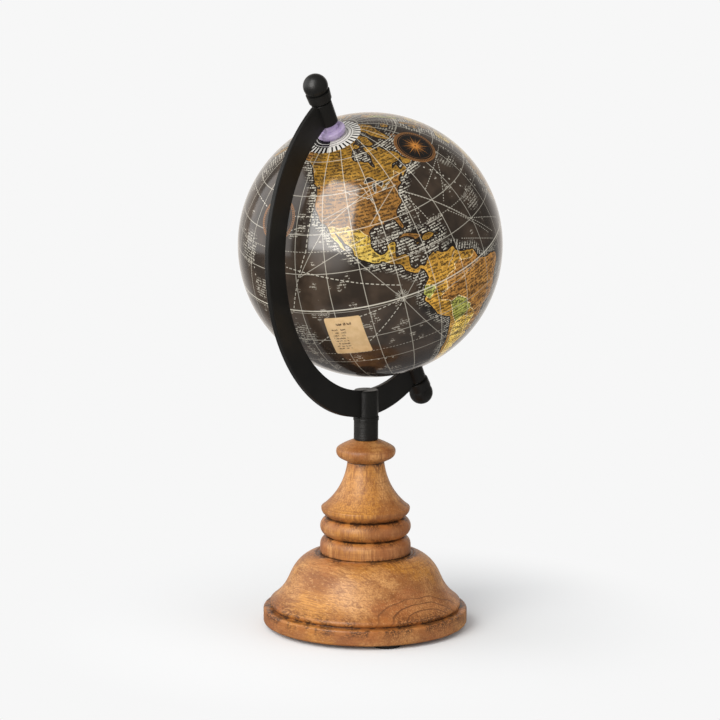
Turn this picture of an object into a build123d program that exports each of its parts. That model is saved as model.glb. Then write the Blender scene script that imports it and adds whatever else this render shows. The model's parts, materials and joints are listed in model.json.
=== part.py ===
from build123d import *
import math
import os

# Desktop globe on a turned wooden stand, in millimetres. The origin is on the stand's axis at table
# level, with +Z up. The meridian arc lies in the XZ plane on the -X side, and the axle's north end
# leans towards -X.

# Clearances
slip_fit = 0.05
running_fit = 0.08
end_play = 0.4
blind_gap = 0.5

# Ball
ball_radius = 63.5
shell_wall = 2.5
ball_offset = 2.8
axle_tilt = 30.0
seam_ring_wall = 2.0
seam_ring_width = 12.0

# Pole bushes
bush_spigot_radius = 4.5
bush_spigot_length = 4.5
bush_shoulder_radius = 5.6
bush_shoulder_height = 0.9
bush_flange_radius = 7.0
bush_flange_height = 2.8
bush_flange_round = 0.9
bush_boss_radius = 4.0

# Axle, sleeves and the fittings on the axle's ends
axle_radius = 2.0
axle_thread_length = 2.6
sleeve_radius = 4.8
sleeve_length = 11.5
sleeve_round = 0.3
washer_radius = 3.6
washer_height = 0.8
cup_foot_radius = 5.45
cup_rim_radius = 5.8
cup_height = 4.6
cup_chamfer = 0.4
ball_nut_radius = 5.85
ball_nut_rise = 3.4

# Meridian arc
arc_gap = 6.6
arc_width = 13.0
arc_thickness = 2.5
arc_edge_chamfer = 0.35
arc_notch_room = 0.8

# Post
post_radius = 5.93
post_shank_height = 9.6
post_ring_height = 1.9
post_ring_step = 0.3
post_ring_round = 0.25
post_chamfer = 0.4
post_spigot_radius = 4.0
post_spigot_length = 8.0
post_thread_depth = 6.0

# Tie rod, washer and nut under the plinth
rod_radius = 2.5
rod_room = 0.3
rod_tail = 1.0
tie_washer_radius = 7.0
tie_washer_height = 1.2
nut_flats = 8.0
nut_height = 4.0
nut_recess_depth = 7.0
nut_recess_room = 1.5

# Foot pads
pad_count = 3
pad_radius = 7.0
pad_height = 1.8
pad_round = 0.6
pad_inset = 8.6
pad_first_angle = 229.0
centre_pad_lap = 3.5

# Plinth
plinth_height = 34.4
rim_radius = 49.7
rim_height = 7.8
rim_round = 1.2
rim_ledge = 4.0
rim_groove_width = 0.5
lip_height = 3.0
lip_bulge = 0.9
lip_slope = 0.75
waist_inset = 7.2
waist_rise = 8.3
shoulder_inset = 10.6
shoulder_drop = 7.7
crown_radius = 24.4
crown_slope = 0.2
scribe_radius = 23.6
scribe_width = 0.5

# Column
tenon_radius = 9.0
tenon_length = 8.0
foot_ring_radius = 22.1
foot_ring_height = 8.7
foot_ring_side = 3.9
foot_ring_slope = 0.4
foot_ring_round = 0.5
middle_ring_radius = 22.1
middle_ring_height = 9.2
ring_groove_radius = 18.5
flare_under_slope = 1.0
flare_lip_radius = 21.6
flare_lip_height = 4.5
flare_lip_round = 1.1
flare_lip_slope = 1.0
flare_slope = 0.85
flare_height = 22.7
neck_radius = 8.95
neck_slope = 8.3
cap_radius = 14.45
cap_under_slope = 0.8
cap_under_height = 5.3
cap_brow_inset = 1.5
cap_brow_rise = 2.3
cap_top_radius = 6.3
cap_top_height = 5.5
cap_top_slope = 0.4

# Heights of the stand, from the table up
plinth_base = pad_height
rim_top = plinth_base + rim_height
lip_base = rim_top + rim_groove_width
lip_top = lip_base + lip_height
plinth_top = plinth_base + plinth_height
middle_ring_base = plinth_top + foot_ring_height
flare_base = middle_ring_base + middle_ring_height
flare_edge = flare_base + flare_lip_height
neck_top = flare_edge + flare_height
cap_widest = neck_top + cap_under_height
column_top = cap_widest + cap_top_height
post_ring_base = column_top + post_shank_height
slot_floor = post_ring_base + post_ring_height

# The arc's outer edge stands on the slot's floor at the stand's axis, which sets the ball's height
arc_inner = ball_radius + arc_gap
arc_outer = arc_inner + arc_width
ball_height = slot_floor + math.sqrt(arc_outer**2 - ball_offset**2)
post_top = ball_height - math.sqrt(arc_inner**2 - ball_offset**2)

# Distances along the axle from the ball's centre
shell_bore_radius = bush_spigot_radius + slip_fit
shell_bore_edge = math.sqrt(ball_radius**2 - shell_bore_radius**2)
bush_shoulder = shell_bore_edge + slip_fit
bush_flange_base = bush_shoulder + bush_shoulder_height
bush_flange_top = bush_flange_base + bush_flange_height
bush_end = arc_inner - end_play
sleeve_end = arc_inner + sleeve_length
cup_base = sleeve_end + washer_height
cup_top = cup_base + cup_height
ball_nut_reach = cup_top + ball_nut_rise
axle_end = ball_nut_reach + axle_thread_length

# Frame of the axle: the meridian planes have X towards the arc and Y along the axle to one pole
tilt = math.radians(axle_tilt)
ball_centre = Vector(ball_offset, 0, ball_height)
axle_direction = Vector(-math.sin(tilt), 0, math.cos(tilt))
arc_side = Vector(-math.cos(tilt), 0, -math.sin(tilt))
axle_line = Axis(ball_centre, axle_direction)
meridian = Plane(ball_centre, x_dir=arc_side, z_dir=(0, 1, 0))
end_meridians = {
    "upper": meridian,
    "lower": Plane(ball_centre, x_dir=arc_side, z_dir=(0, -1, 0)),
}
end_directions = {"upper": axle_direction, "lower": -axle_direction}

os.makedirs("parts", exist_ok=True)


def circles_of_radius(part, radius):
    """The round edges of a part that have this radius."""
    return part.edges().filter_by(GeomType.CIRCLE).filter_by(lambda edge: abs(edge.radius - radius) < 1e-4)


# Plinth: turned rim, lip, ogee dome and a flat crown with a scribed circle round the column
groove_radius = rim_radius - rim_ledge
rod_bore_radius = rod_radius + rod_room
tenon_socket_radius = tenon_radius + slip_fit
tenon_socket_floor = plinth_top - tenon_length - blind_gap
nut_recess_radius = tie_washer_radius + nut_recess_room
nut_recess_top = plinth_base + nut_recess_depth
with BuildPart() as base_plinth:
    with BuildSketch(Plane.XZ):
        with BuildLine():
            Polyline(
                (crown_radius, plinth_top),
                (0, plinth_top),
                (0, plinth_base),
                (rim_radius, plinth_base),
                (rim_radius, rim_top),
                (groove_radius, rim_top),
                (groove_radius, lip_base),
            )
            ThreePointArc(
                (groove_radius, lip_base),
                (groove_radius + lip_bulge, (lip_base + lip_top) / 2),
                (groove_radius, lip_top),
            )
            Spline(
                (groove_radius, lip_top),
                (groove_radius - waist_inset, lip_top + waist_rise),
                (crown_radius + shoulder_inset, plinth_top - shoulder_drop),
                (crown_radius, plinth_top),
                tangents=[(-1, lip_slope), (-1, crown_slope)],
            )
        make_face()
    revolve(axis=Axis.Z)
    fillet(circles_of_radius(base_plinth, rim_radius), rim_round)
    with BuildSketch(Plane.XZ):
        with Locations((scribe_radius, plinth_top)):
            Circle(scribe_width / 2)
    revolve(axis=Axis.Z, mode=Mode.SUBTRACT)
    with BuildSketch(Plane.XY.offset(plinth_top)):
        Circle(tenon_socket_radius)
    extrude(amount=tenon_socket_floor - plinth_top, mode=Mode.SUBTRACT)
    with BuildSketch(Plane.XY.offset(plinth_base)):
        Circle(nut_recess_radius)
    extrude(amount=nut_recess_depth, mode=Mode.SUBTRACT)
    with BuildSketch(Plane.XY.offset(nut_recess_top)):
        Circle(rod_bore_radius)
    extrude(amount=tenon_socket_floor - nut_recess_top, mode=Mode.SUBTRACT)
base_plinth.part.label = "base_plinth"
export_step(base_plinth.part, "parts/base_plinth.step")

# Column: straight-sided foot ring, half-round ring, flare with a rounded lip, and a mushroom cap
foot_ring_shoulder = plinth_top + foot_ring_side
flare_foot = flare_edge + flare_lip_round
spigot_socket_radius = post_spigot_radius + slip_fit
spigot_socket_depth = post_spigot_length + blind_gap
tenon_base = plinth_top - tenon_length
with BuildPart() as column:
    with BuildSketch(Plane.XZ):
        with BuildLine():
            Polyline(
                (cap_top_radius, column_top),
                (0, column_top),
                (0, tenon_base),
                (tenon_radius, tenon_base),
                (tenon_radius, plinth_top),
                (foot_ring_radius, plinth_top),
                (foot_ring_radius, foot_ring_shoulder),
            )
            Spline(
                (foot_ring_radius, foot_ring_shoulder),
                (ring_groove_radius, middle_ring_base),
                tangents=[(0, 1), (-1, foot_ring_slope)],
            )
            ThreePointArc(
                (ring_groove_radius, middle_ring_base),
                (middle_ring_radius, (middle_ring_base + flare_base) / 2),
                (ring_groove_radius, flare_base),
            )
            Spline(
                (ring_groove_radius, flare_base),
                (flare_lip_radius, flare_edge),
                tangents=[(1, flare_under_slope), (0, 1)],
            )
            Spline(
                (flare_lip_radius, flare_edge),
                (flare_lip_radius - flare_lip_round, flare_foot),
                tangents=[(0, 1), (-1, flare_lip_slope)],
            )
            Spline(
                (flare_lip_radius - flare_lip_round, flare_foot),
                (neck_radius, neck_top),
                tangents=[(-1, flare_slope), (-1, neck_slope)],
            )
            Spline(
                (neck_radius, neck_top),
                (cap_radius, cap_widest),
                tangents=[(1, cap_under_slope), (0, 1)],
            )
            Spline(
                (cap_radius, cap_widest),
                (cap_radius - cap_brow_inset, cap_widest + cap_brow_rise),
                (cap_top_radius, column_top),
                tangents=[(0, 1), (-1, cap_top_slope)],
            )
        make_face()
    revolve(axis=Axis.Z)
    fillet(circles_of_radius(column, foot_ring_radius).sort_by(Axis.Z)[0], foot_ring_round)
    with BuildSketch(Plane.XY.offset(column_top)):
        Circle(spigot_socket_radius)
    extrude(amount=-spigot_socket_depth, mode=Mode.SUBTRACT)
    with BuildSketch(Plane.XY.offset(tenon_base)):
        Circle(rod_bore_radius)
    extrude(amount=column_top - spigot_socket_depth - tenon_base, mode=Mode.SUBTRACT)
column.part.label = "column"
export_step(column.part, "parts/column.step")

# Foot pads: rubber discs stuck to the underside of the plinth
pad_circle_radius = rim_radius - pad_inset
for pad_index in range(pad_count):
    pad_angle = math.radians(pad_first_angle + 360 / pad_count * pad_index)
    pad_centre = (pad_circle_radius * math.cos(pad_angle), pad_circle_radius * math.sin(pad_angle), 0)
    with BuildPart() as foot_pad:
        with BuildSketch(Plane(pad_centre)):
            Circle(pad_radius)
        extrude(amount=pad_height)
        fillet(foot_pad.edges().group_by(Axis.Z)[0], pad_round)
    foot_pad.part.label = f"foot_pad_{pad_index + 1}"
    export_step(foot_pad.part, f"parts/foot_pad_{pad_index + 1}.step")

# Centre pad: rubber disc of the same height that closes the nut's recess
centre_pad_radius = nut_recess_radius + centre_pad_lap
with BuildPart() as centre_pad:
    with BuildSketch(Plane.XY):
        Circle(centre_pad_radius)
    extrude(amount=pad_height)
    fillet(centre_pad.edges().group_by(Axis.Z)[0], pad_round)
centre_pad.part.label = "centre_pad"
export_step(centre_pad.part, "parts/centre_pad.step")

# Post: turned shank with a ring, a spigot in the column and a slot that holds the arc
post_ring_radius = post_radius + post_ring_step
rod_thread_radius = rod_radius + slip_fit
post_spigot_base = column_top - post_spigot_length
with BuildPart() as post:
    with BuildSketch(Plane.XY.offset(column_top)):
        Circle(post_radius)
    extrude(amount=post_top - column_top)
    chamfer(post.edges().filter_by(GeomType.CIRCLE), post_chamfer)
    with BuildSketch(Plane.XY.offset(post_ring_base)):
        Circle(post_ring_radius)
    extrude(amount=post_ring_height)
    fillet(circles_of_radius(post, post_ring_radius), post_ring_round)
    with BuildSketch(Plane.XY.offset(post_spigot_base)):
        Circle(post_spigot_radius)
    extrude(amount=post_spigot_length)
    with BuildSketch(Plane.XY.offset(post_spigot_base)):
        Circle(rod_thread_radius)
    extrude(amount=post_spigot_length + post_thread_depth, mode=Mode.SUBTRACT)
    with BuildSketch(meridian):
        Circle(arc_outer + slip_fit)
    extrude(amount=arc_thickness / 2 + slip_fit, both=True, mode=Mode.SUBTRACT)
post.part.label = "post"
export_step(post.part, "parts/post.step")

# Tie rod, washer and nut: they pull the post, the column and the plinth together
tie_washer_base = nut_recess_top - tie_washer_height
nut_base = tie_washer_base - nut_height
rod_base = nut_base - rod_tail
rod_top = column_top + post_thread_depth - blind_gap
with BuildPart() as tie_rod:
    with BuildSketch(Plane.XY.offset(rod_base)):
        Circle(rod_radius)
    extrude(amount=rod_top - rod_base)
tie_rod.part.label = "tie_rod"
export_step(tie_rod.part, "parts/tie_rod.step")

with BuildPart() as tie_washer:
    with BuildSketch(Plane.XY.offset(tie_washer_base)):
        Circle(tie_washer_radius)
        Circle(rod_bore_radius, mode=Mode.SUBTRACT)
    extrude(amount=tie_washer_height)
tie_washer.part.label = "tie_washer"
export_step(tie_washer.part, "parts/tie_washer.step")

with BuildPart() as tie_nut:
    with BuildSketch(Plane.XY.offset(nut_base)):
        RegularPolygon(nut_flats / 2, 6, major_radius=False)
        Circle(rod_thread_radius, mode=Mode.SUBTRACT)
    extrude(amount=nut_height)
tie_nut.part.label = "tie_nut"
export_step(tie_nut.part, "parts/tie_nut.step")

# Meridian arc: flat half ring, hollowed at its ends for the sleeves and notched clear of the cups
arc_notch_radius = cup_rim_radius + arc_notch_room
with BuildPart() as meridian_arc:
    with BuildSketch(meridian):
        Circle(arc_outer)
        Circle(arc_inner, mode=Mode.SUBTRACT)
        Rectangle(arc_outer, 2 * arc_outer, align=(Align.MIN, Align.CENTER), mode=Mode.INTERSECT)
    extrude(amount=arc_thickness / 2, both=True)
    chamfer(meridian_arc.edges().filter_by(GeomType.CIRCLE), arc_edge_chamfer)
    with BuildSketch(Plane(ball_centre, z_dir=axle_direction)):
        Circle(sleeve_radius)
    extrude(amount=arc_outer, both=True, mode=Mode.SUBTRACT)
    for end_direction in end_directions.values():
        with BuildSketch(Plane(ball_centre + end_direction * sleeve_end, z_dir=end_direction)):
            Circle(arc_notch_radius)
        extrude(amount=arc_width, mode=Mode.SUBTRACT)
meridian_arc.part.label = "meridian_arc"
export_step(meridian_arc.part, "parts/meridian_arc.step")

# Axle: plain rod from one ball nut to the other
with BuildPart() as axle:
    with BuildSketch(Plane(ball_centre, z_dir=axle_direction)):
        Circle(axle_radius)
    extrude(amount=axle_end, both=True)
axle.part.label = "axle"
export_step(axle.part, "parts/axle.step")

# Fittings of each end of the axle, from the ball outwards
fitting_bore_radius = axle_radius + slip_fit
bush_bore_radius = axle_radius + running_fit
bush_spigot_end = bush_shoulder - bush_spigot_length
for end_name, end_meridian in end_meridians.items():
    # Bush: spigot in the shell, a flange and a boss that turns against the sleeve
    with BuildPart() as bush:
        with BuildSketch(end_meridian):
            with BuildLine():
                Polyline(
                    (bush_bore_radius, bush_spigot_end),
                    (bush_spigot_radius, bush_spigot_end),
                    (bush_spigot_radius, bush_shoulder),
                    (bush_shoulder_radius, bush_shoulder),
                    (bush_shoulder_radius, bush_flange_base),
                    (bush_flange_radius, bush_flange_base),
                    (bush_flange_radius, bush_flange_top),
                    (bush_boss_radius, bush_flange_top),
                    (bush_boss_radius, bush_end),
                    (bush_bore_radius, bush_end),
                    close=True,
                )
            make_face()
        revolve(axis=axle_line)
        fillet(circles_of_radius(bush, bush_flange_radius), bush_flange_round)
    bush.part.label = f"{end_name}_bush"
    export_step(bush.part, f"parts/{end_name}_bush.step")

    # Sleeve: tube that the end of the arc is welded to
    with BuildPart() as sleeve:
        with BuildSketch(end_meridian):
            with Locations((fitting_bore_radius, arc_inner)):
                Rectangle(sleeve_radius - fitting_bore_radius, sleeve_length, align=Align.MIN)
        revolve(axis=axle_line)
        fillet(circles_of_radius(sleeve, sleeve_radius), sleeve_round)
    sleeve.part.label = f"{end_name}_sleeve"
    export_step(sleeve.part, f"parts/{end_name}_sleeve.step")

    # Washer between the sleeve and the cup
    with BuildPart() as washer:
        with BuildSketch(end_meridian):
            with Locations((fitting_bore_radius, sleeve_end)):
                Rectangle(washer_radius - fitting_bore_radius, washer_height, align=Align.MIN)
        revolve(axis=axle_line)
    washer.part.label = f"{end_name}_washer"
    export_step(washer.part, f"parts/{end_name}_washer.step")

    # Cup: tapered collar with a round seat for the ball nut
    with BuildPart() as cup:
        with BuildSketch(end_meridian):
            with BuildLine():
                Polyline(
                    (fitting_bore_radius, cup_base),
                    (cup_foot_radius, cup_base),
                    (cup_rim_radius, cup_top),
                    (fitting_bore_radius, cup_top),
                    close=True,
                )
            make_face()
            with Locations((0, ball_nut_reach)):
                Circle(ball_nut_radius + slip_fit, mode=Mode.SUBTRACT)
        revolve(axis=axle_line)
        chamfer(circles_of_radius(cup, cup_foot_radius), cup_chamfer)
    cup.part.label = f"{end_name}_cup"
    export_step(cup.part, f"parts/{end_name}_cup.step")

    # Ball nut: ball with a blind hole for the axle's end
    with BuildPart() as ball_nut:
        with BuildSketch(end_meridian):
            with Locations((0, ball_nut_reach)):
                Circle(ball_nut_radius)
                Rectangle(
                    ball_nut_radius,
                    2 * ball_nut_radius,
                    align=(Align.MIN, Align.CENTER),
                    mode=Mode.INTERSECT,
                )
            Rectangle(
                fitting_bore_radius,
                axle_end + blind_gap,
                align=Align.MIN,
                mode=Mode.SUBTRACT,
            )
        revolve(axis=axle_line)
    ball_nut.part.label = f"{end_name}_ball_nut"
    export_step(ball_nut.part, f"parts/{end_name}_ball_nut.step")

# Shells: the two halves of the hollow ball, which meet at the equator
shell_inner_radius = ball_radius - shell_wall
for shell_name, end_meridian in zip(("north_shell", "south_shell"), end_meridians.values()):
    with BuildPart() as shell:
        with BuildSketch(end_meridian):
            Circle(ball_radius)
            Circle(shell_inner_radius, mode=Mode.SUBTRACT)
            Rectangle(ball_radius, ball_radius, align=Align.MIN, mode=Mode.INTERSECT)
            Rectangle(shell_bore_radius, ball_radius, align=Align.MIN, mode=Mode.SUBTRACT)
        revolve(axis=axle_line)
    shell.part.label = shell_name
    export_step(shell.part, f"parts/{shell_name}.step")

# Seam ring: band inside the equator that both shells are glued to
seam_ring_outer = shell_inner_radius - slip_fit
with BuildPart() as seam_ring:
    with BuildSketch(meridian):
        Circle(seam_ring_outer)
        Circle(seam_ring_outer - seam_ring_wall, mode=Mode.SUBTRACT)
        Rectangle(
            seam_ring_outer,
            seam_ring_width,
            align=(Align.MIN, Align.CENTER),
            mode=Mode.INTERSECT,
        )
    revolve(axis=axle_line)
seam_ring.part.label = "seam_ring"
export_step(seam_ring.part, "parts/seam_ring.step")
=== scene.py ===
import json
import math
from functools import reduce

import bpy
import numpy as np
from mathutils import Matrix, Vector


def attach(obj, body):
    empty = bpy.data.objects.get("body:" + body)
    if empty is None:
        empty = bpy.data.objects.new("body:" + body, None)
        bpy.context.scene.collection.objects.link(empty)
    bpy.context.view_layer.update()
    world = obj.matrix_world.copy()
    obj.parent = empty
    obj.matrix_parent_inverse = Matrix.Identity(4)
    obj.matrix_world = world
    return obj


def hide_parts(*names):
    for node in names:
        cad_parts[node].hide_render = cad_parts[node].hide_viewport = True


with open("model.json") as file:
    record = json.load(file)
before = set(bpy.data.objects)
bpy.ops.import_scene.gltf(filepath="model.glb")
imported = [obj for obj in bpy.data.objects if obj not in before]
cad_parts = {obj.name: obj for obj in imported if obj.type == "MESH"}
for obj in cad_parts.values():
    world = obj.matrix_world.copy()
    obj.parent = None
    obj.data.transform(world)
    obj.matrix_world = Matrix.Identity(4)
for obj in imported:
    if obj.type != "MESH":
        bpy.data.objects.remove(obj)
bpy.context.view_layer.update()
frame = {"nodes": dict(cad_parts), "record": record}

# Looks of a desktop globe on a turned wooden stand. Lengths are in millimetres unless a name says
# otherwise, and angles are in degrees.

nodes = frame["nodes"]
METRE = 1000.0
DEGREE = 180 / math.pi

# Camera: it stands to the left of the arc and looks down a little, with the stand's axis near the middle
PHOTO_PIXELS = 720
SENSOR_WIDTH = 36.0
camera_focal_pixels = 2732.0
camera_azimuth = -55.19
camera_distance = 1300.0
camera_height = 347.3
camera_pitch = 9.445
camera_roll = 0.27
axis_right_of_view = 3.06

# Lamps: an upright window to the left in front, a lamp farther round to the left and a weak fill from the
# right that the gloss doesn't show. A bearing is how far a lamp stands to the camera's left.
lamp_distance = 1000.0
lamps = {
    "window": dict(
        bearing=36.5, middle_height=988.0, size=(760.0, 1570.0), radiance=5.25, tint=(1.0, 0.985, 0.96),
    ),
    "side_lamp": dict(bearing=100.0, middle_height=650.0, size=(1150.0, 1150.0), radiance=1.15),
    "fill_lamp": dict(
        bearing=-65.0, middle_height=260.0, size=(1100.0, 900.0), radiance=0.95, in_gloss=False,
    ),
}

# World: what lights the object, and what its gloss shows: the pale backdrop, a dim room and a glow by the
# window. The glow's direction is its share to the right, upwards and towards the camera. A start is the
# cosine of the angle from the middle of a bright area to its edge.
background_level = 0.93
world_level = 0.47
dim_level = 0.12
mirror_tint = (1.0, 0.94, 0.88, 1.0)
backdrop_start = 0.62
glow_level = 1.6
glow_direction = (-0.57, -0.09, 0.82)
glow_start = 0.90

# Floor: a round sheet of paper, as seen, as it lights the object and as the gloss shows it
floor_reach = 220.0
floor_fade_start = 55.0
floor_fade_end = 175.0
floor_sides = 72
floor_white = (0.88, 0.895, 0.908, 1.0)
floor_bounce = 0.65
floor_mirror = 0.25

# Wood: the plinth's fibres lie level and the column's stand up. The pith is where the growth rings' centre
# line crosses the two other axes, and a groove is the height, line width and spread of its stain and of the
# painted shade in its crease, which is also painted where the plinth meets the floor and the column. A
# darker
# zone is its lowest and highest place: painted shade on the sideways-facing rim and ring beads, partly
# darker stain. No growth rings show on the plinth's rim.
rim_top = 8.6
plinth_grain_turn = -97.0
plinth_figure = dict(
    pith=(-5.0, 8.0), ring_pitch=5.6, ring_reach=36.0, ring_flatness=2.0, speckling=0.5,
    groove_stain_and_shade=[(9.9, 0.5, 7.0), (0.5, 0.8, 1.6), (36.4, 0.5, 1.6)],
    stain_and_shade_zone=(-1.0, rim_top),
)
column_figure = dict(
    pith=(26.0, -12.0), ring_pitch=7.0, ring_reach=30.0, ring_flatness=1.0, speckling=0.25,
    groove_stain_and_shade=[(36.4, 0.7, 2.0), (44.9, 0.9, 4.0), (54.1, 0.9, 4.0), (81.3, 0.6, 4.0)],
    stain_and_shade_zone=(36.0, 57.0),
)

# Ball: two printed shells that meet at the axle's equator
shell_radius = 63.5
shell_wall = 2.5
pole_bore_radius = 4.55
shell_rows = 150
lining_rows = 20
shell_columns = 512
sharp_angle = 40.0
degree_length = shell_radius / DEGREE

# Map: its poles stand a little off the axle, and the print stretches the latitudes
map_lean = -6.91
map_roll = 0.42
map_turn = 136.85
north_stretch = 1.10
south_stretch = 1.03
outline_reach = 9.0
coast_steps = 3
border_steps = 1
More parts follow.
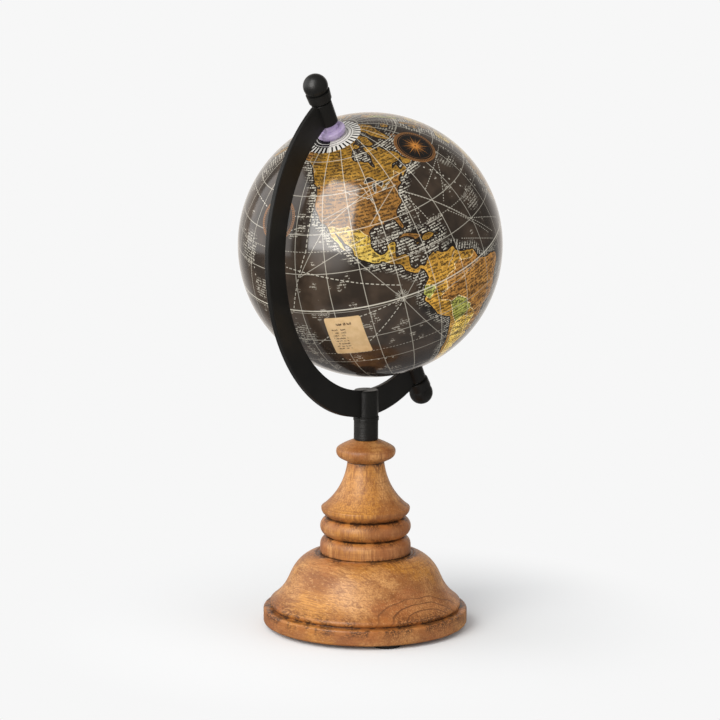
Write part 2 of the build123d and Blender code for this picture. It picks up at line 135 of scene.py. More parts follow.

# Outlines of the map as (longitude, latitude) corners, simplified from common geography
LAND = {
    "North America": [
        (-168, 65.6), (-161, 64.5), (-166, 61.6), (-158, 58.7), (-164.5, 54.8), (-158, 56), (-152, 59.3),
        (-150, 61), (-149, 60), (-146, 60.8), (-139.5, 59.6), (-135, 58.2), (-131, 55.2), (-130.3, 54.2),
        (-127.6, 51.2), (-123.2, 49.2), (-122.4, 47.5), (-124.7, 48.3), (-124, 46.2), (-124.5, 42.8),
        (-124.4, 40.4), (-122.5, 37.8), (-121.9, 36.6), (-120.5, 34.5), (-118.4, 33.8), (-117.1, 32.5),
        (-115.8, 30), (-115, 27.9), (-112.2, 26), (-112, 24.6), (-109.9, 22.9), (-110.3, 24.3),
        (-111.3, 26), (-112.8, 28.4), (-114.8, 31.8), (-112.5, 29.2), (-110.9, 27.9), (-109.3, 25.7),
        (-106.4, 23.2), (-105.7, 20.4), (-104.3, 19.1), (-99.9, 16.8), (-96.5, 15.7), (-94.8, 16.2),
        (-92.3, 14.6), (-89, 13.3), (-87.6, 13), (-86.5, 11.8), (-85.8, 10), (-83.6, 8.5), (-82.9, 8),
        (-80.4, 7.3), (-79.5, 9), (-77.9, 7.3), (-77.3, 8.6), (-79.6, 9.6), (-81.5, 8.9), (-83, 10),
        (-83.7, 11), (-83.2, 15), (-86, 15.9), (-88.3, 15.7), (-88.2, 17.5), (-87.5, 19.5), (-86.8, 21.5),
        (-90.3, 21.1), (-90.6, 19.6), (-92, 18.6), (-94.4, 18.2), (-96, 19.2), (-97.8, 22.3),
        (-97.2, 25.9), (-97.1, 27.8), (-94.8, 29.3), (-91.5, 29.5), (-89.2, 29.1), (-88, 30.3),
        (-85.2, 29.7), (-83.9, 30), (-82.7, 28.4), (-81.8, 26.2), (-81, 25.3), (-80.4, 26), (-80.9, 28.4),
        (-81.5, 30.5), (-80.9, 32), (-79, 33.5), (-77.9, 33.9), (-75.5, 35.2), (-76, 37), (-75, 38.6),
        (-74, 40.5), (-71.9, 41), (-70, 41.7), (-70.8, 42.5), (-69, 44), (-67, 44.8), (-64.8, 45.8),
        (-66.1, 43.7), (-63.5, 44.6), (-61, 45.3), (-60, 46.2), (-61, 47), (-64, 46.2), (-65, 47.8),
        (-64.3, 48.9), (-69, 48), (-71.2, 46.8), (-68.5, 49), (-66.4, 50.2), (-61, 50.2), (-56, 51.6),
        (-55.8, 53), (-58, 55), (-61.5, 56.5), (-64.5, 60.3), (-66, 58.8), (-68.5, 58.5), (-70, 60.8),
        (-73, 62), (-78, 62.4), (-78, 60), (-76.8, 57.5), (-78.5, 55), (-79, 53), (-79.5, 51.3),
        (-82, 53), (-82.3, 55.1), (-85, 55.3), (-88, 56.5), (-92.3, 57), (-94.5, 58.8), (-94.5, 60.5),
        (-93, 61.9), (-90.7, 63.5), (-88, 64), (-86.5, 66.4), (-81.3, 67.5), (-81.5, 69), (-84.5, 69.8),
        (-86.5, 67.3), (-88.5, 68.5), (-91.5, 69.7), (-94, 72), (-96, 70), (-95.5, 68), (-98, 67.8),
        (-102, 67.8), (-108, 68.5), (-113, 67.8), (-116, 69), (-120, 69.6), (-124.5, 70.1), (-128, 70),
        (-134, 69.5), (-139, 69.6), (-148, 70.4), (-156.6, 71.3), (-163, 69.9), (-166.7, 68.4),
        (-162, 66.6),
    ],
    "Baffin Island": [
        (-61.5, 66.8), (-64, 65.2), (-64.8, 63), (-66, 62), (-71, 62.5), (-74, 64.4), (-77.8, 64.8),
        (-73.5, 66), (-73, 68), (-78, 69.9), (-85, 70), (-89.5, 71), (-86, 73.7), (-80.5, 73.7),
        (-76, 72.7), (-71, 71), (-67.5, 69.3),
    ],
    "Victoria Island": [
        (-105, 69), (-113, 68.6), (-116.5, 69.5), (-118, 71.5), (-113.5, 73), (-108, 73), (-104.8, 71),
        (-101.5, 69.8),
    ],
    "Banks Island": [(-125, 72), (-121, 71.4), (-116.5, 73), (-121, 74.4), (-124.5, 74.1)],
    "Devon Island": [(-80, 74.6), (-91.5, 74.8), (-96, 76.5), (-89, 76.5), (-81, 76.1)],
    "Ellesmere Island": [
        (-78, 76.5), (-89.5, 76.5), (-88, 78.2), (-92, 80.5), (-80, 83), (-63, 82.5), (-72, 79.5),
    ],
    "Southampton Island": [(-81, 64), (-85, 63.5), (-87, 64.2), (-84.5, 65.8), (-82, 64.9)],
    "Greenland": [
        (-44, 59.9), (-48, 61), (-51.5, 64), (-53.5, 67), (-51, 69.5), (-54.5, 71.5), (-58, 75),
        (-68, 76), (-72, 78.3), (-65, 80.5), (-50, 82.5), (-32, 83.5), (-20, 82), (-18, 79), (-20, 75),
        (-22.5, 72), (-24, 70.2), (-31, 68.2), (-38, 65.8), (-41, 63),
    ],
    "Newfoundland": [
        (-59.2, 47.8), (-55.8, 46.9), (-53, 46.7), (-53, 48), (-55.7, 50), (-55.6, 51.5), (-57.3, 50.6),
        (-58.5, 49),
    ],
    "Vancouver Island": [(-128.2, 50.7), (-124, 48.4), (-123.5, 48.6), (-125.3, 50.2)],
    "Cuba": [
        (-84.9, 21.9), (-83, 23), (-80.5, 23), (-77, 21.8), (-74.2, 20.2), (-77.6, 19.9), (-78, 20.8),
        (-82, 22.4),
    ],
    "Hispaniola": [(-74.4, 18.4), (-73, 19.9), (-69.9, 19.7), (-68.4, 18.6), (-71.4, 17.7)],
    "Jamaica": [(-78.3, 18.3), (-76.3, 18.1), (-77.2, 17.8)],
    "Puerto Rico": [(-67.2, 18.4), (-65.7, 18.3), (-67.1, 17.9)],
    "South America": [
        (-77.3, 8.6), (-75.5, 10.5), (-74.8, 11.1), (-71.7, 12.4), (-71.5, 10.9), (-70, 12),
        (-68.3, 10.7), (-65, 10.1), (-61.9, 10.7), (-60.9, 8.6), (-58.2, 6.8), (-55.2, 5.9), (-52, 4.7),
        (-50.5, 1.9), (-49.5, 0), (-48, -0.7), (-44.3, -2.6), (-41, -2.9), (-38.5, -3.7), (-35.3, -5.2),
        (-34.9, -8), (-37, -11), (-38.5, -13), (-39, -16.5), (-39.7, -19.7), (-42, -22.9), (-44, -23.2),
        (-46.4, -24), (-48.5, -26), (-48.8, -28.5), (-50.3, -30), (-52.2, -32.2), (-54.5, -34.8),
        (-56.2, -34.9), (-58.4, -34), (-57, -36.4), (-57.6, -38.1), (-62, -39), (-65, -41),
        (-63.7, -42.4), (-65.3, -45), (-67.5, -46), (-65.8, -47.8), (-68.5, -50.2), (-68.4, -52.3),
        (-65.2, -54.7), (-68, -55.6), (-71.5, -54), (-74.5, -52), (-75.5, -48), (-74, -44),
        (-73.7, -41.8), (-73.4, -39.7), (-73.5, -37.2), (-71.6, -33), (-71.5, -30), (-70.5, -23.5),
        (-70.3, -18.4), (-72.5, -17), (-76.2, -14), (-77.2, -12), (-78.6, -9), (-79.9, -6.8),
        (-81.3, -4.6), (-80, -3), (-81, -2.2), (-80.8, -0.9), (-79.8, 1), (-78.8, 1.9), (-77.2, 3.9),
        (-77.5, 6), (-77.9, 7.3),
    ],
    "Falkland Islands": [(-61, -51.8), (-58, -51.5), (-59, -52.3)],
    "Africa": [
        (-5.9, 35.8), (-2, 35.1), (3, 36.8), (9.9, 37.3), (11, 37), (10.1, 34), (13.2, 32.9), (19, 30.3),
        (20, 32.2), (23, 32.7), (29, 30.9), (31, 31.5), (32.3, 31.2), (32.5, 29.9), (35.5, 24),
        (37.2, 20), (39.5, 15.6), (43, 11.5), (45, 10.5), (51.3, 11.9), (49, 7), (45.3, 2), (42.3, -0.5),
        (39.7, -4), (39.4, -7), (40.6, -11), (40.7, -15), (36, -18.5), (34.9, -20), (35.5, -24),
        (32.7, -26), (31, -30), (28, -33), (25.6, -34), (20, -34.8), (18.4, -34), (17, -29.5),
        (14.4, -23), (11.8, -18), (13.4, -12.5), (13.2, -8.8), (12.2, -6), (11.8, -4.8), (8.8, -0.7),
        (9.8, 3), (9.5, 4), (6, 4.3), (3.4, 6.4), (0, 5.5), (-2, 4.8), (-5, 5.2), (-7.5, 4.4),
        (-10.8, 6.3), (-13.2, 8.5), (-13.7, 9.6), (-16, 12), (-17.5, 14.7), (-16, 18), (-17, 21),
        (-15, 26), (-10, 29.5), (-9.7, 30.5), (-7.6, 33.6),
    ],
    "Madagascar": [(49.3, -12), (50.4, -15.7), (47, -25), (44, -25), (43.3, -22), (44.4, -16.3), (47, -15)],
    "Europe and Asia": [
        (-5.6, 36), (-6.5, 36.8), (-9, 37), (-9.4, 38.8), (-9.3, 43), (-3.8, 43.5), (-1.5, 43.5),
        (-1.2, 46), (-4.7, 48.4), (-1.7, 49.7), (1.7, 50.9), (4.6, 52.9), (8.6, 53.9), (8.1, 56),
        (10.6, 57.7), (10.9, 56.3), (10.9, 54), (14.3, 53.9), (18.6, 54.6), (21, 55), (21.5, 57.5),
        (24, 57.2), (24, 59.3), (30, 59.9), (25, 60.2), (21.5, 60.8), (21.5, 63), (25, 65), (22.5, 65.8),
        (21, 64), (17.5, 62), (19, 59.8), (16.5, 57), (13, 55.4), (11.5, 58), (10.6, 59.3), (8, 58),
        (5.5, 59), (5, 61), (8, 63.5), (12, 66), (15, 68.5), (25.5, 71.1), (31, 70.3), (36, 69), (41, 67),
        (33, 66.8), (35.5, 64.3), (40.5, 64.7), (44, 66), (44, 68.4), (46.5, 67.8), (54, 68.5),
        (60, 69.5), (66.5, 69), (67, 72.5), (72.8, 72.8), (73.5, 68), (78, 72.3), (82, 72), (87, 75),
        (104, 77.7), (113, 75.5), (109, 73.5), (126, 73.5), (135, 71.6), (140, 72.5), (150, 71.5),
        (161, 69.7), (170, 70), (180, 69), (190, 66.1), (186, 64.4), (177.5, 64.7), (179.5, 62.5),
        (170, 60), (163.5, 58), (163, 56), (156.7, 51), (155.6, 55), (161, 60), (164, 62), (151, 59.3),
        (143, 59.3), (137.5, 54), (141, 53), (140.4, 49), (132, 43), (127.5, 39.5), (129.3, 35.2),
        (126.3, 34.5), (126.5, 37.5), (125, 39.5), (121.3, 39), (118, 39), (122.5, 37.2), (119.3, 35),
        (121.8, 31.5), (121, 28), (119.6, 25.7), (114.2, 22.3), (110.2, 20.4), (106.8, 20.7),
        (105.8, 18.7), (108.5, 16), (109.3, 12.5), (106.5, 9.7), (104.8, 8.7), (103.5, 10.7),
        (100.5, 13.4), (99.2, 10.5), (100.3, 8.3), (103.3, 5), (103.9, 1.4), (101.3, 3), (100.3, 5.7),
        (98.3, 8), (98.6, 12), (97.5, 16.5), (94.5, 16), (92.3, 20.8), (90, 22), (86.8, 20.5), (82.5, 17),
        (80.2, 13), (79.8, 10.3), (77.5, 8.1), (76, 10.5), (73.8, 15.5), (72.8, 19), (72.6, 21.5),
        (70, 20.9), (68.5, 23.5), (66.7, 25), (61.5, 25.1), (57.5, 25.8), (56.3, 27.1), (51, 28.8),
        (48.5, 30), (48, 29.3), (50, 26.7), (51.5, 25), (54.3, 24.3), (56.4, 26.3), (58.6, 23.6),
        (59.8, 22.5), (57.8, 19), (54, 17), (49, 14.5), (45, 12.8), (43.3, 12.8), (42.8, 15),
        (39.1, 21.3), (37.2, 24.8), (35, 29.4), (34.2, 27.8), (32.6, 29.9), (32.3, 31.2), (34.4, 31.4),
        (35.5, 34), (36.1, 36.8), (31, 36.6), (28, 36.8), (26.4, 38.5), (26.2, 40), (29, 41), (35, 42),
        (39.7, 41), (41.6, 41.6), (37.5, 44.8), (39, 47.1), (36.5, 45.3), (33.5, 44.5), (30.8, 46.5),
        (29.7, 45), (27.9, 43), (28.8, 41.2), (24, 40.4), (24, 38), (22.8, 36.5), (20, 39.5),
        (19.4, 41.5), (17.5, 43), (13.6, 45.6), (12.3, 45.2), (13.6, 43.5), (16.1, 41.8), (18.5, 40),
        (17, 40.4), (16, 38), (14.3, 40.7), (12.2, 41.8), (8.9, 44.4), (5, 43.3), (3.1, 42.6),
        (2.2, 41.3), (-0.3, 39.4), (-2.1, 36.7),
    ],
    "Great Britain": [
        (-5.7, 50.1), (1.4, 51.2), (1.7, 52.7), (-0.2, 54), (-2, 56), (-3, 58.6), (-5, 58.5), (-6, 56.5),
        (-3.3, 54.6), (-5.2, 53.3), (-4.8, 51.8), (-3, 51.3),
    ],
    "Ireland": [(-6, 52.2), (-10, 51.6), (-10, 54.2), (-7.3, 55.3), (-5.7, 54.4)],
    "Iceland": [(-22.5, 64), (-18.7, 63.4), (-14, 64.8), (-15, 66.3), (-20, 66), (-24, 65.6)],
    "Honshu": [
        (131, 34.2), (135.8, 33.5), (140.8, 35.7), (142, 39.5), (141.3, 41.4), (140, 40.5), (138.5, 37.4),
        (136.8, 37.4), (133, 35.5),
    ],
    "Hokkaido": [(140, 41.6), (145.3, 43.3), (142, 45.4)],
    "Kyushu": [(130, 31.3), (131.9, 33.2), (129.8, 33)],
    "Sakhalin": [(142, 46), (143.5, 49), (142.8, 54.3), (142, 52)],
    "Taiwan": [(120.8, 22), (121.8, 25), (120.2, 23.3)],
    "Luzon": [(120.5, 18.5), (122.2, 18.4), (121.6, 16), (124, 12.8), (120.7, 13.9), (120, 16)],
    "Mindanao": [(122, 7.2), (125.5, 9.7), (126.4, 7.5), (125.3, 5.8)],
    "Borneo": [
        (109, 1.5), (111.5, 2.5), (115.5, 5.5), (117, 7), (119, 5), (117.5, 1), (116, -3.8), (113, -3.2),
        (110.2, -2),
    ],
    "Sumatra": [
        (95.3, 5.6), (98.5, 3.7), (103.5, -0.5), (106, -3), (105.8, -5.8), (102.3, -4), (98.7, 1.7),
    ],
    "Java": [(105.3, -6.7), (110.8, -6.5), (114.5, -7.8), (114.4, -8.6), (108, -7.8)],
    "Sulawesi": [(119.5, -5.5), (119, -2.7), (120, 1), (125, 1.5), (121, 0.5), (121.5, -1.9), (122.5, -5)],
    "New Guinea": [
        (131, -0.8), (134.2, -0.9), (135, -3.3), (141, -2.6), (147, -6), (150.8, -10.5), (146, -8.5),
        (143, -9), (138.5, -8.3), (137.8, -5.3), (133, -4),
    ],
    "Australia": [
        (114.2, -21.8), (118.6, -20.3), (122.2, -18), (123.5, -16.5), (126.8, -14), (130.8, -12.4),
        (136.9, -12.2), (135.5, -15), (140.8, -17.5), (142.5, -10.7), (143.8, -14.4), (146, -18.8),
        (149.2, -21), (153.2, -26), (153.5, -28.7), (151.3, -33.8), (150, -37.5), (146.4, -39),
        (143.6, -38.8), (140.5, -38), (138.2, -35.5), (137.8, -33), (135.5, -34.8), (131.2, -31.5),
        (126, -32.3), (123.5, -33.9), (118, -35), (115, -34.3), (115.7, -32), (113.3, -26),
    ],
    "Tasmania": [(144.7, -40.8), (148.3, -41), (147, -43.6), (145.3, -42.5)],
    "New Zealand, north": [(172.7, -34.5), (175.5, -36.7), (178.4, -37.7), (175.3, -41.5), (173.8, -39.2)],
    "New Zealand, south": [(172.8, -40.5), (174.2, -41.8), (170.7, -45.9), (166.5, -46), (168.5, -44)],
    "Sri Lanka": [(80, 9.7), (81.8, 7.3), (80.4, 6), (79.8, 7.8)],
    "Novaya Zemlya": [(52, 71), (57, 70.6), (56, 73), (69, 76.8), (60, 76), (53.5, 73)],
    "Svalbard": [(13.5, 78), (17, 76.6), (27, 80), (15, 80)],
    "Sicily": [(12.5, 37.9), (15.6, 38.2), (15.1, 36.7)],
    "Sardinia and Corsica": [(8.4, 39), (9.6, 39.2), (9.4, 43), (8.5, 41.8)],
    "Antarctica": [
        (0, -70), (30, -69.5), (55, -66.5), (90, -66.7), (110, -66.3), (135, -66.3), (160, -69.5),
        (168, -75), (180, -78), (-160, -77.5), (-140, -75), (-110, -74), (-85, -73), (-68, -70),
        (-57, -63.5), (-61, -70), (-62, -75), (-40, -78), (-20, -73),
    ],
}
LAKES = {
    "Superior": [(-92, 46.7), (-88, 48.8), (-84.7, 46.6), (-87.4, 46.5)],
    "Michigan": [(-87.6, 41.7), (-86.3, 42.5), (-85, 45.7), (-87.5, 44.8)],
    "Huron": [(-84.2, 46), (-80, 45), (-82, 43.2), (-83.5, 44.3)],
    "Erie": [(-83.3, 41.8), (-79, 42.8), (-81, 41.7)],
    "Ontario": [(-79.5, 43.4), (-76.3, 44), (-77, 43.3)],
    "Caspian Sea": [(47.5, 43), (50, 46.8), (53, 45), (53, 41), (54, 37), (50, 37.3), (49.3, 40.5)],
}
ORANGE_LANDS = {
    "United States": [
        (-124.8, 48.9), (-95.2, 49), (-89.5, 48), (-84.5, 46.5), (-82.5, 45.3), (-82.5, 42.5),
        (-79, 42.8), (-76.5, 44), (-71.5, 45), (-69.2, 47.4), (-67.8, 45.7), (-66, 44.5), (-66, 40),
        (-75, 30), (-79, 24), (-84, 24), (-93, 28), (-97, 25.9), (-99.5, 27.5), (-101.5, 29.8),
        (-104.5, 29.6), (-106.5, 31.8), (-111, 31.3), (-114.8, 32.5), (-117.5, 32.5), (-126, 36),
    ],
    "Alaska": [(-141, 70.5), (-141, 60.3), (-130, 55.5), (-135, 53), (-172, 52), (-170, 72)],
    "Cuba": [(-86, 21.5), (-83, 24), (-79, 23.6), (-73.5, 20.6), (-74, 19.6), (-78, 19.4), (-83, 21.6)],
    "Brazil": [
        (-50, 5), (-54, 2.3), (-60, 4), (-60, 5), (-64, 4), (-64, 2), (-67, 1.5), (-69.5, 0.6),
        (-69.8, -4.3), (-73.5, -6), (-74, -8), (-70.5, -9.5), (-69, -11), (-65, -10), (-60.5, -13.7),
        (-60, -16), (-57.8, -18), (-58, -20), (-56, -22.2), (-54.5, -24), (-54.5, -25.7), (-57.5, -30),
        (-53.5, -33.6), (-50, -34), (-33, -20), (-30, -5), (-42, 2),
    ],
    "Kazakhstan": [
        (47, 48), (52, 51.5), (61, 51), (68, 55), (77, 54), (87, 49), (80, 43), (71, 43), (66, 42),
        (56, 42), (53, 45),
    ],
    "India": [
        (68, 24), (71, 28), (74, 34), (78, 35), (81, 30), (88, 27), (92, 27), (90, 22), (84, 16), (80, 8),
        (77, 6), (70, 18),
    ],
    "France": [(-5, 48.5), (2, 51.2), (8, 49), (7, 44), (3, 42.5), (-2, 43.3)],
    "Turkey": [(26, 40.5), (34, 42.5), (44, 41), (44, 37.5), (36, 36), (27, 36)],
    "Libya": [(11, 33.5), (25, 32.5), (25, 20), (14, 22.5), (10, 26)],
    "Sudan": [(25, 22), (37, 22), (36, 13), (33, 10), (24, 10), (24, 16)],
    "Congo": [(12, -5), (18, 4.5), (28, 4.5), (30, -4), (29, -12), (22, -11), (17, -8)],
    "South Africa": [(16, -29), (20, -28), (20, -25), (29, -22), (33, -26), (30, -35), (18, -36)],
    "Western Australia": [(112, -20), (129, -12), (129, -33), (114, -36)],
}
YELLOW_LANDS = {
    "Mexico": [
        (-117.5, 32.5), (-114.8, 32.5), (-111, 31.3), (-106.5, 31.8), (-104.5, 29.6), (-101.5, 29.8),
        (-99.5, 27.5), (-97, 25.9), (-95, 22), (-90, 22.5), (-86, 22), (-87.5, 18), (-89.2, 17.8),
        (-91, 17.8), (-90.5, 16), (-92.2, 14.5), (-97, 14.5), (-107, 18), (-112, 22), (-119, 30),
    ],
    "Argentina": [
        (-67.5, -22.8), (-62.3, -22), (-57.7, -25.3), (-54, -25.6), (-57.8, -30), (-58.3, -34),
        (-55, -38), (-63, -56), (-68.5, -55), (-68.5, -52.3), (-72, -51), (-71.5, -44), (-71, -38),
        (-70, -33), (-69, -27),
    ],
    "China": [
        (75, 39), (80, 43), (87, 48), (97, 42.5), (112, 44), (120, 50), (127, 50), (132, 46), (126, 40),
        (122, 36), (123, 29), (112, 20), (104, 22.5), (98, 25), (92, 28), (80, 31),
    ],
    "Spain": [(-10, 44), (3, 42.8), (0, 37.5), (-6, 35.9), (-10, 37)],
    "Germany": [(6, 54), (14, 54.5), (15, 50), (13, 47.5), (7, 47.5)],
    "Arabia": [(35, 29), (44, 31), (48, 29), (56, 24), (54, 17), (43, 16), (39, 20)],
    "Algeria": [(-2, 36), (8, 37.5), (10, 26), (3, 19.5), (-8, 27.5)],
    "Egypt": [(25, 32), (35, 32), (36, 22), (25, 22)],
    "Angola": [(11, -6), (22, -7), (24, -11), (22, -17.5), (11, -17.5)],
    "Queensland": [(138, -15), (143, -9), (155, -26), (152, -29), (141, -29), (138, -26)],
}
GREEN_LANDS = {
    "Bolivia": [
        (-69.5, -11), (-65.3, -10), (-60.5, -13.7), (-60, -16.2), (-58, -18), (-58, -20), (-62.3, -22),
        (-67.5, -22.8), (-69, -18), (-69, -15.5),
    ],
    "Ecuador": [(-80.3, -3.4), (-79, -5), (-75.5, -2), (-75.5, 0), (-79, 1.4), (-82, 1), (-82, -3)],
    "Mongolia": [(88, 49), (98, 52), (108, 50), (119, 47), (112, 44), (97, 42.5)],
    "Persia": [(45, 39), (54, 37.5), (61, 36), (62, 26), (56, 27), (49, 30)],
    "Ethiopia": [(34, 8), (37, 14), (43, 11.5), (48, 8), (42, 4), (36, 4.5)],
    "Namibia": [(11, -17.5), (24, -18), (20, -25), (19, -29), (15, -28)],
    "Scandinavia": [(5, 57), (12, 56), (24, 66), (20, 69), (8, 64)],
}

# What the ball's mesh carries: the outlines of each value, and the steps from one corner to the next
map_outlines = {
    "coast": (LAND, coast_steps),
    "lake": (LAKES, coast_steps),
    "orange_land": (ORANGE_LANDS, border_steps),
    "yellow_land": (YELLOW_LANDS, border_steps),
    "green_land": (GREEN_LANDS, border_steps),
}


class Field:
    """A number, colour or point at each place of a surface, written as arithmetic and kept as nodes."""

    def __init__(self, socket):
        self.socket = socket
        self.tree = socket.id_data

    def __add__(self, other):
        return calculate("ADD", self, other)

    def __sub__(self, other):
        return calculate("SUBTRACT", self, other)

    def __rsub__(self, other):
        return calculate("SUBTRACT", other, self)

    def __mul__(self, other):
        return calculate("MULTIPLY", self, other)

    def __truediv__(self, other):
        return calculate("DIVIDE", self, other)

    def __abs__(self):
        return calculate("ABSOLUTE", self)

    __radd__ = __add__


def feed(node, inputs):
    """Links inputs of a node to fields, and sets those that are the same all over to constants."""
    for name, value in inputs.items():
        if isinstance(value, Field):
            value.tree.links.new(value.socket, node.inputs[name])
        else:
            node.inputs[name].default_value = value


def new_node(tree, kind, inputs, output=0, **settings):
    """One output of a new node as a field."""
    node = tree.nodes.new("ShaderNode" + kind)
    for name, value in settings.items():
        setattr(node, name, value)
    feed(node, inputs)
    return Field(node.outputs[output])


def combine(kind, inputs, output=0, **settings):
    """A field from a new node in the tree of the fields that it takes in."""
    tree = next(value.tree for value in inputs.values() if isinstance(value, Field))
    return new_node(tree, kind, inputs, output, **settings)


def calculate(operation, *values):
    """One step of arithmetic on fields and numbers."""
    return combine("Math", dict(enumerate(values)), operation=operation)


def largest(fields):
    """The largest of some fields, each compared as soon as it is made, so that few are held at once."""
    return reduce(lambda first, second: calculate("MAXIMUM", first, second), fields)


def larger(*fields):
    return largest(fields)


def root(field):
    return calculate("SQRT", field)


def fraction(field):
    return calculate("FRACT", field)


def whole(field):
    return calculate("FLOOR", field)


def slide(field, start, end):
    """0 before start and 1 after end, with a smooth step between them; start may be the larger."""
    first, last = (0.0, 1.0) if start < end else (1.0, 0.0)
    ends = {"From Min": min(start, end), "From Max": max(start, end), "To Min": first, "To Max": last}
    return combine("MapRange", {"Value": field, **ends}, interpolation_type="SMOOTHSTEP", clamp=False)


def up_to(field, limit, softness=0.1):
    """1 under a limit and 0 over it, with a soft edge."""
    return slide(field, limit + softness, limit - softness)


def band(field, low, high, softness):
    """1 between two limits, with soft edges."""
    return slide(field, low - softness, low + softness) * up_to(field, high, softness)


def stroke(offset, width, softness=0.14):
    """A line of some width where offset is 0."""
    return slide(abs(offset), width / 2 + softness, max(width / 2 - softness, 0.0))


def colour(red, green, blue):
    """A display colour from 0 to 255 as the linear colour that a shader takes."""
    def linear(level):
        level = level / 255
        return level / 12.92 if level <= 0.04045 else ((level + 0.055) / 1.055) ** 2.4
    return (linear(red), linear(green), linear(blue), 1.0)


def grey(level):
    """A neutral colour of some linear level."""
    return (level, level, level, 1.0)


def blend(factor, below, above):
    """The colour below where factor is 0 and the colour above where it is 1."""
    return combine("Mix", {0: factor, 6: below, 7: above}, 2, data_type="RGBA")


def brighten(base, factor):
    """A colour times a factor."""
    return combine("HueSaturation", {"Color": base, "Value": factor})


def split(point):
    """The three coordinates of a point."""
    node = point.tree.nodes.new("ShaderNodeSeparateXYZ")
    feed(node, {0: point})
    return [Field(socket) for socket in node.outputs]


def join(x, y, z):
    """A point from three coordinates."""
    return combine("CombineXYZ", {0: x, 1: y, 2: z})


def moved(point, offset):
    """A point moved by an offset."""
    return combine("VectorMath", {0: point, 1: offset})


def along(point, direction):
    """How far a point lies along a direction."""
    return combine("VectorMath", {0: point, 1: direction}, "Value", operation="DOT_PRODUCT")


def hypotenuse(first, second):
    """The distance of a flat place from its two coordinates."""
    return root(first * first + second * second)


def polar(first, second):
    """Distance and bearing of a flat place from its two coordinates."""
    return hypotenuse(first, second), calculate("ARCTAN2", second, first)


def noise(point, size, detail=2.0, roughness=0.5, stretch=(1.0, 1.0, 1.0)):
    """Smooth noise from 0 to 1 whose spots are about size across, longer along the axes in stretch."""
    scale = [1 / (size * length) for length in stretch]
    scaled = combine("Mapping", {"Vector": point, "Scale": scale})
    return combine("TexNoise", {"Vector": scaled, "Scale": 1.0, "Detail": detail, "Roughness": roughness})


def attribute(tree, name):
    """A number that the mesh carries at its vertices."""
    return new_node(tree, "Attribute", {}, "Fac", attribute_name=name)


def bumps(height, depth):
    """The normal of a surface bumped by a height field; depth is what a height of 1 stands for."""
    return combine("Bump", {"Height": height, "Distance": depth / METRE}, "Normal")


def new_material(name):
    """A material with its shader and its object coordinates in millimetres."""
    material = bpy.data.materials.new(name)
    material.use_nodes = True
    tree = material.node_tree
    in_metres = new_node(tree, "TexCoord", {}, "Object")
    point = combine("VectorMath", {0: in_metres, "Scale": METRE}, operation="SCALE")
    return material, tree.nodes["Principled BSDF"], point


class Group:
    """A small shader tree that is built once and then used like a function of fields."""

    def __init__(self, name, input_kinds, output_kind, build):
        self.tree = bpy.data.node_groups.new(name, "ShaderNodeTree")
        for index, kind in enumerate(input_kinds):
            self.tree.interface.new_socket(f"in_{index}", in_out="INPUT", socket_type="NodeSocket" + kind)
        self.tree.interface.new_socket("out", in_out="OUTPUT", socket_type="NodeSocket" + output_kind)
        entry = self.tree.nodes.new("NodeGroupInput")
        result = build(*[Field(socket) for socket in entry.outputs[:len(input_kinds)]])
        feed(self.tree.nodes.new("NodeGroupOutput"), {0: result})

    def __call__(self, *values):
        return combine("Group", dict(enumerate(values)), node_tree=self.tree)


def dress(material, *names):
    """Gives CAD nodes a material."""
    for name in names:
        slots = nodes[name].data.materials
        slots.clear()
        slots.append(material)


def add_object(name, data):
    """A new object in the scene."""
    thing = bpy.data.objects.new(name, data)
    bpy.context.scene.collection.objects.link(thing)
    return thing


# Ball: each shell is a closed mesh that carries the map's outlines as distances at its vertices
def map_direction(longitude, latitude):
    """Unit vectors from the ball's centre to places on the map, in the map's own frame."""
    stretch = np.where(np.asarray(latitude) > 0, north_stretch, south_stretch)
    height = np.radians(latitude) * stretch
    turn = np.radians(longitude)
    return np.stack([np.cos(height) * np.cos(turn), np.cos(height) * np.sin(turn), np.sin(height)], axis=-1)


def rounded(outline, steps):
    """A closed outline as unit vectors, with a smooth curve of some steps from each corner to the next."""
    corners = map_direction(*np.array(outline, float).T)
    before = np.roll(corners, 1, axis=0)
    after = np.roll(corners, -1, axis=0)
    beyond = np.roll(corners, -2, axis=0)
    curve = []
    for step in range(steps):
        share = step / steps
        bend = (2 * before - 5 * corners + 4 * after - beyond) * share**2
        twist = (3 * corners - before - 3 * after + beyond) * share**3
        curve.append(corners + ((after - before) * share + bend + twist) / 2)
    points = np.stack(curve, axis=1).reshape(-1, 3)
    return points / np.linalg.norm(points, axis=1, keepdims=True)


def flattened(places, middle):
    """Unit vectors as x and y on a flat map about a middle place, projected from the place opposite it."""
    slanted_way = (0.3, 0.5, 0.8)
    east = np.cross(middle, slanted_way)
    east = east / np.linalg.norm(east)
    north = np.cross(middle, east)
    return places @ east / (1 + places @ middle), places @ north / (1 + places @ middle)


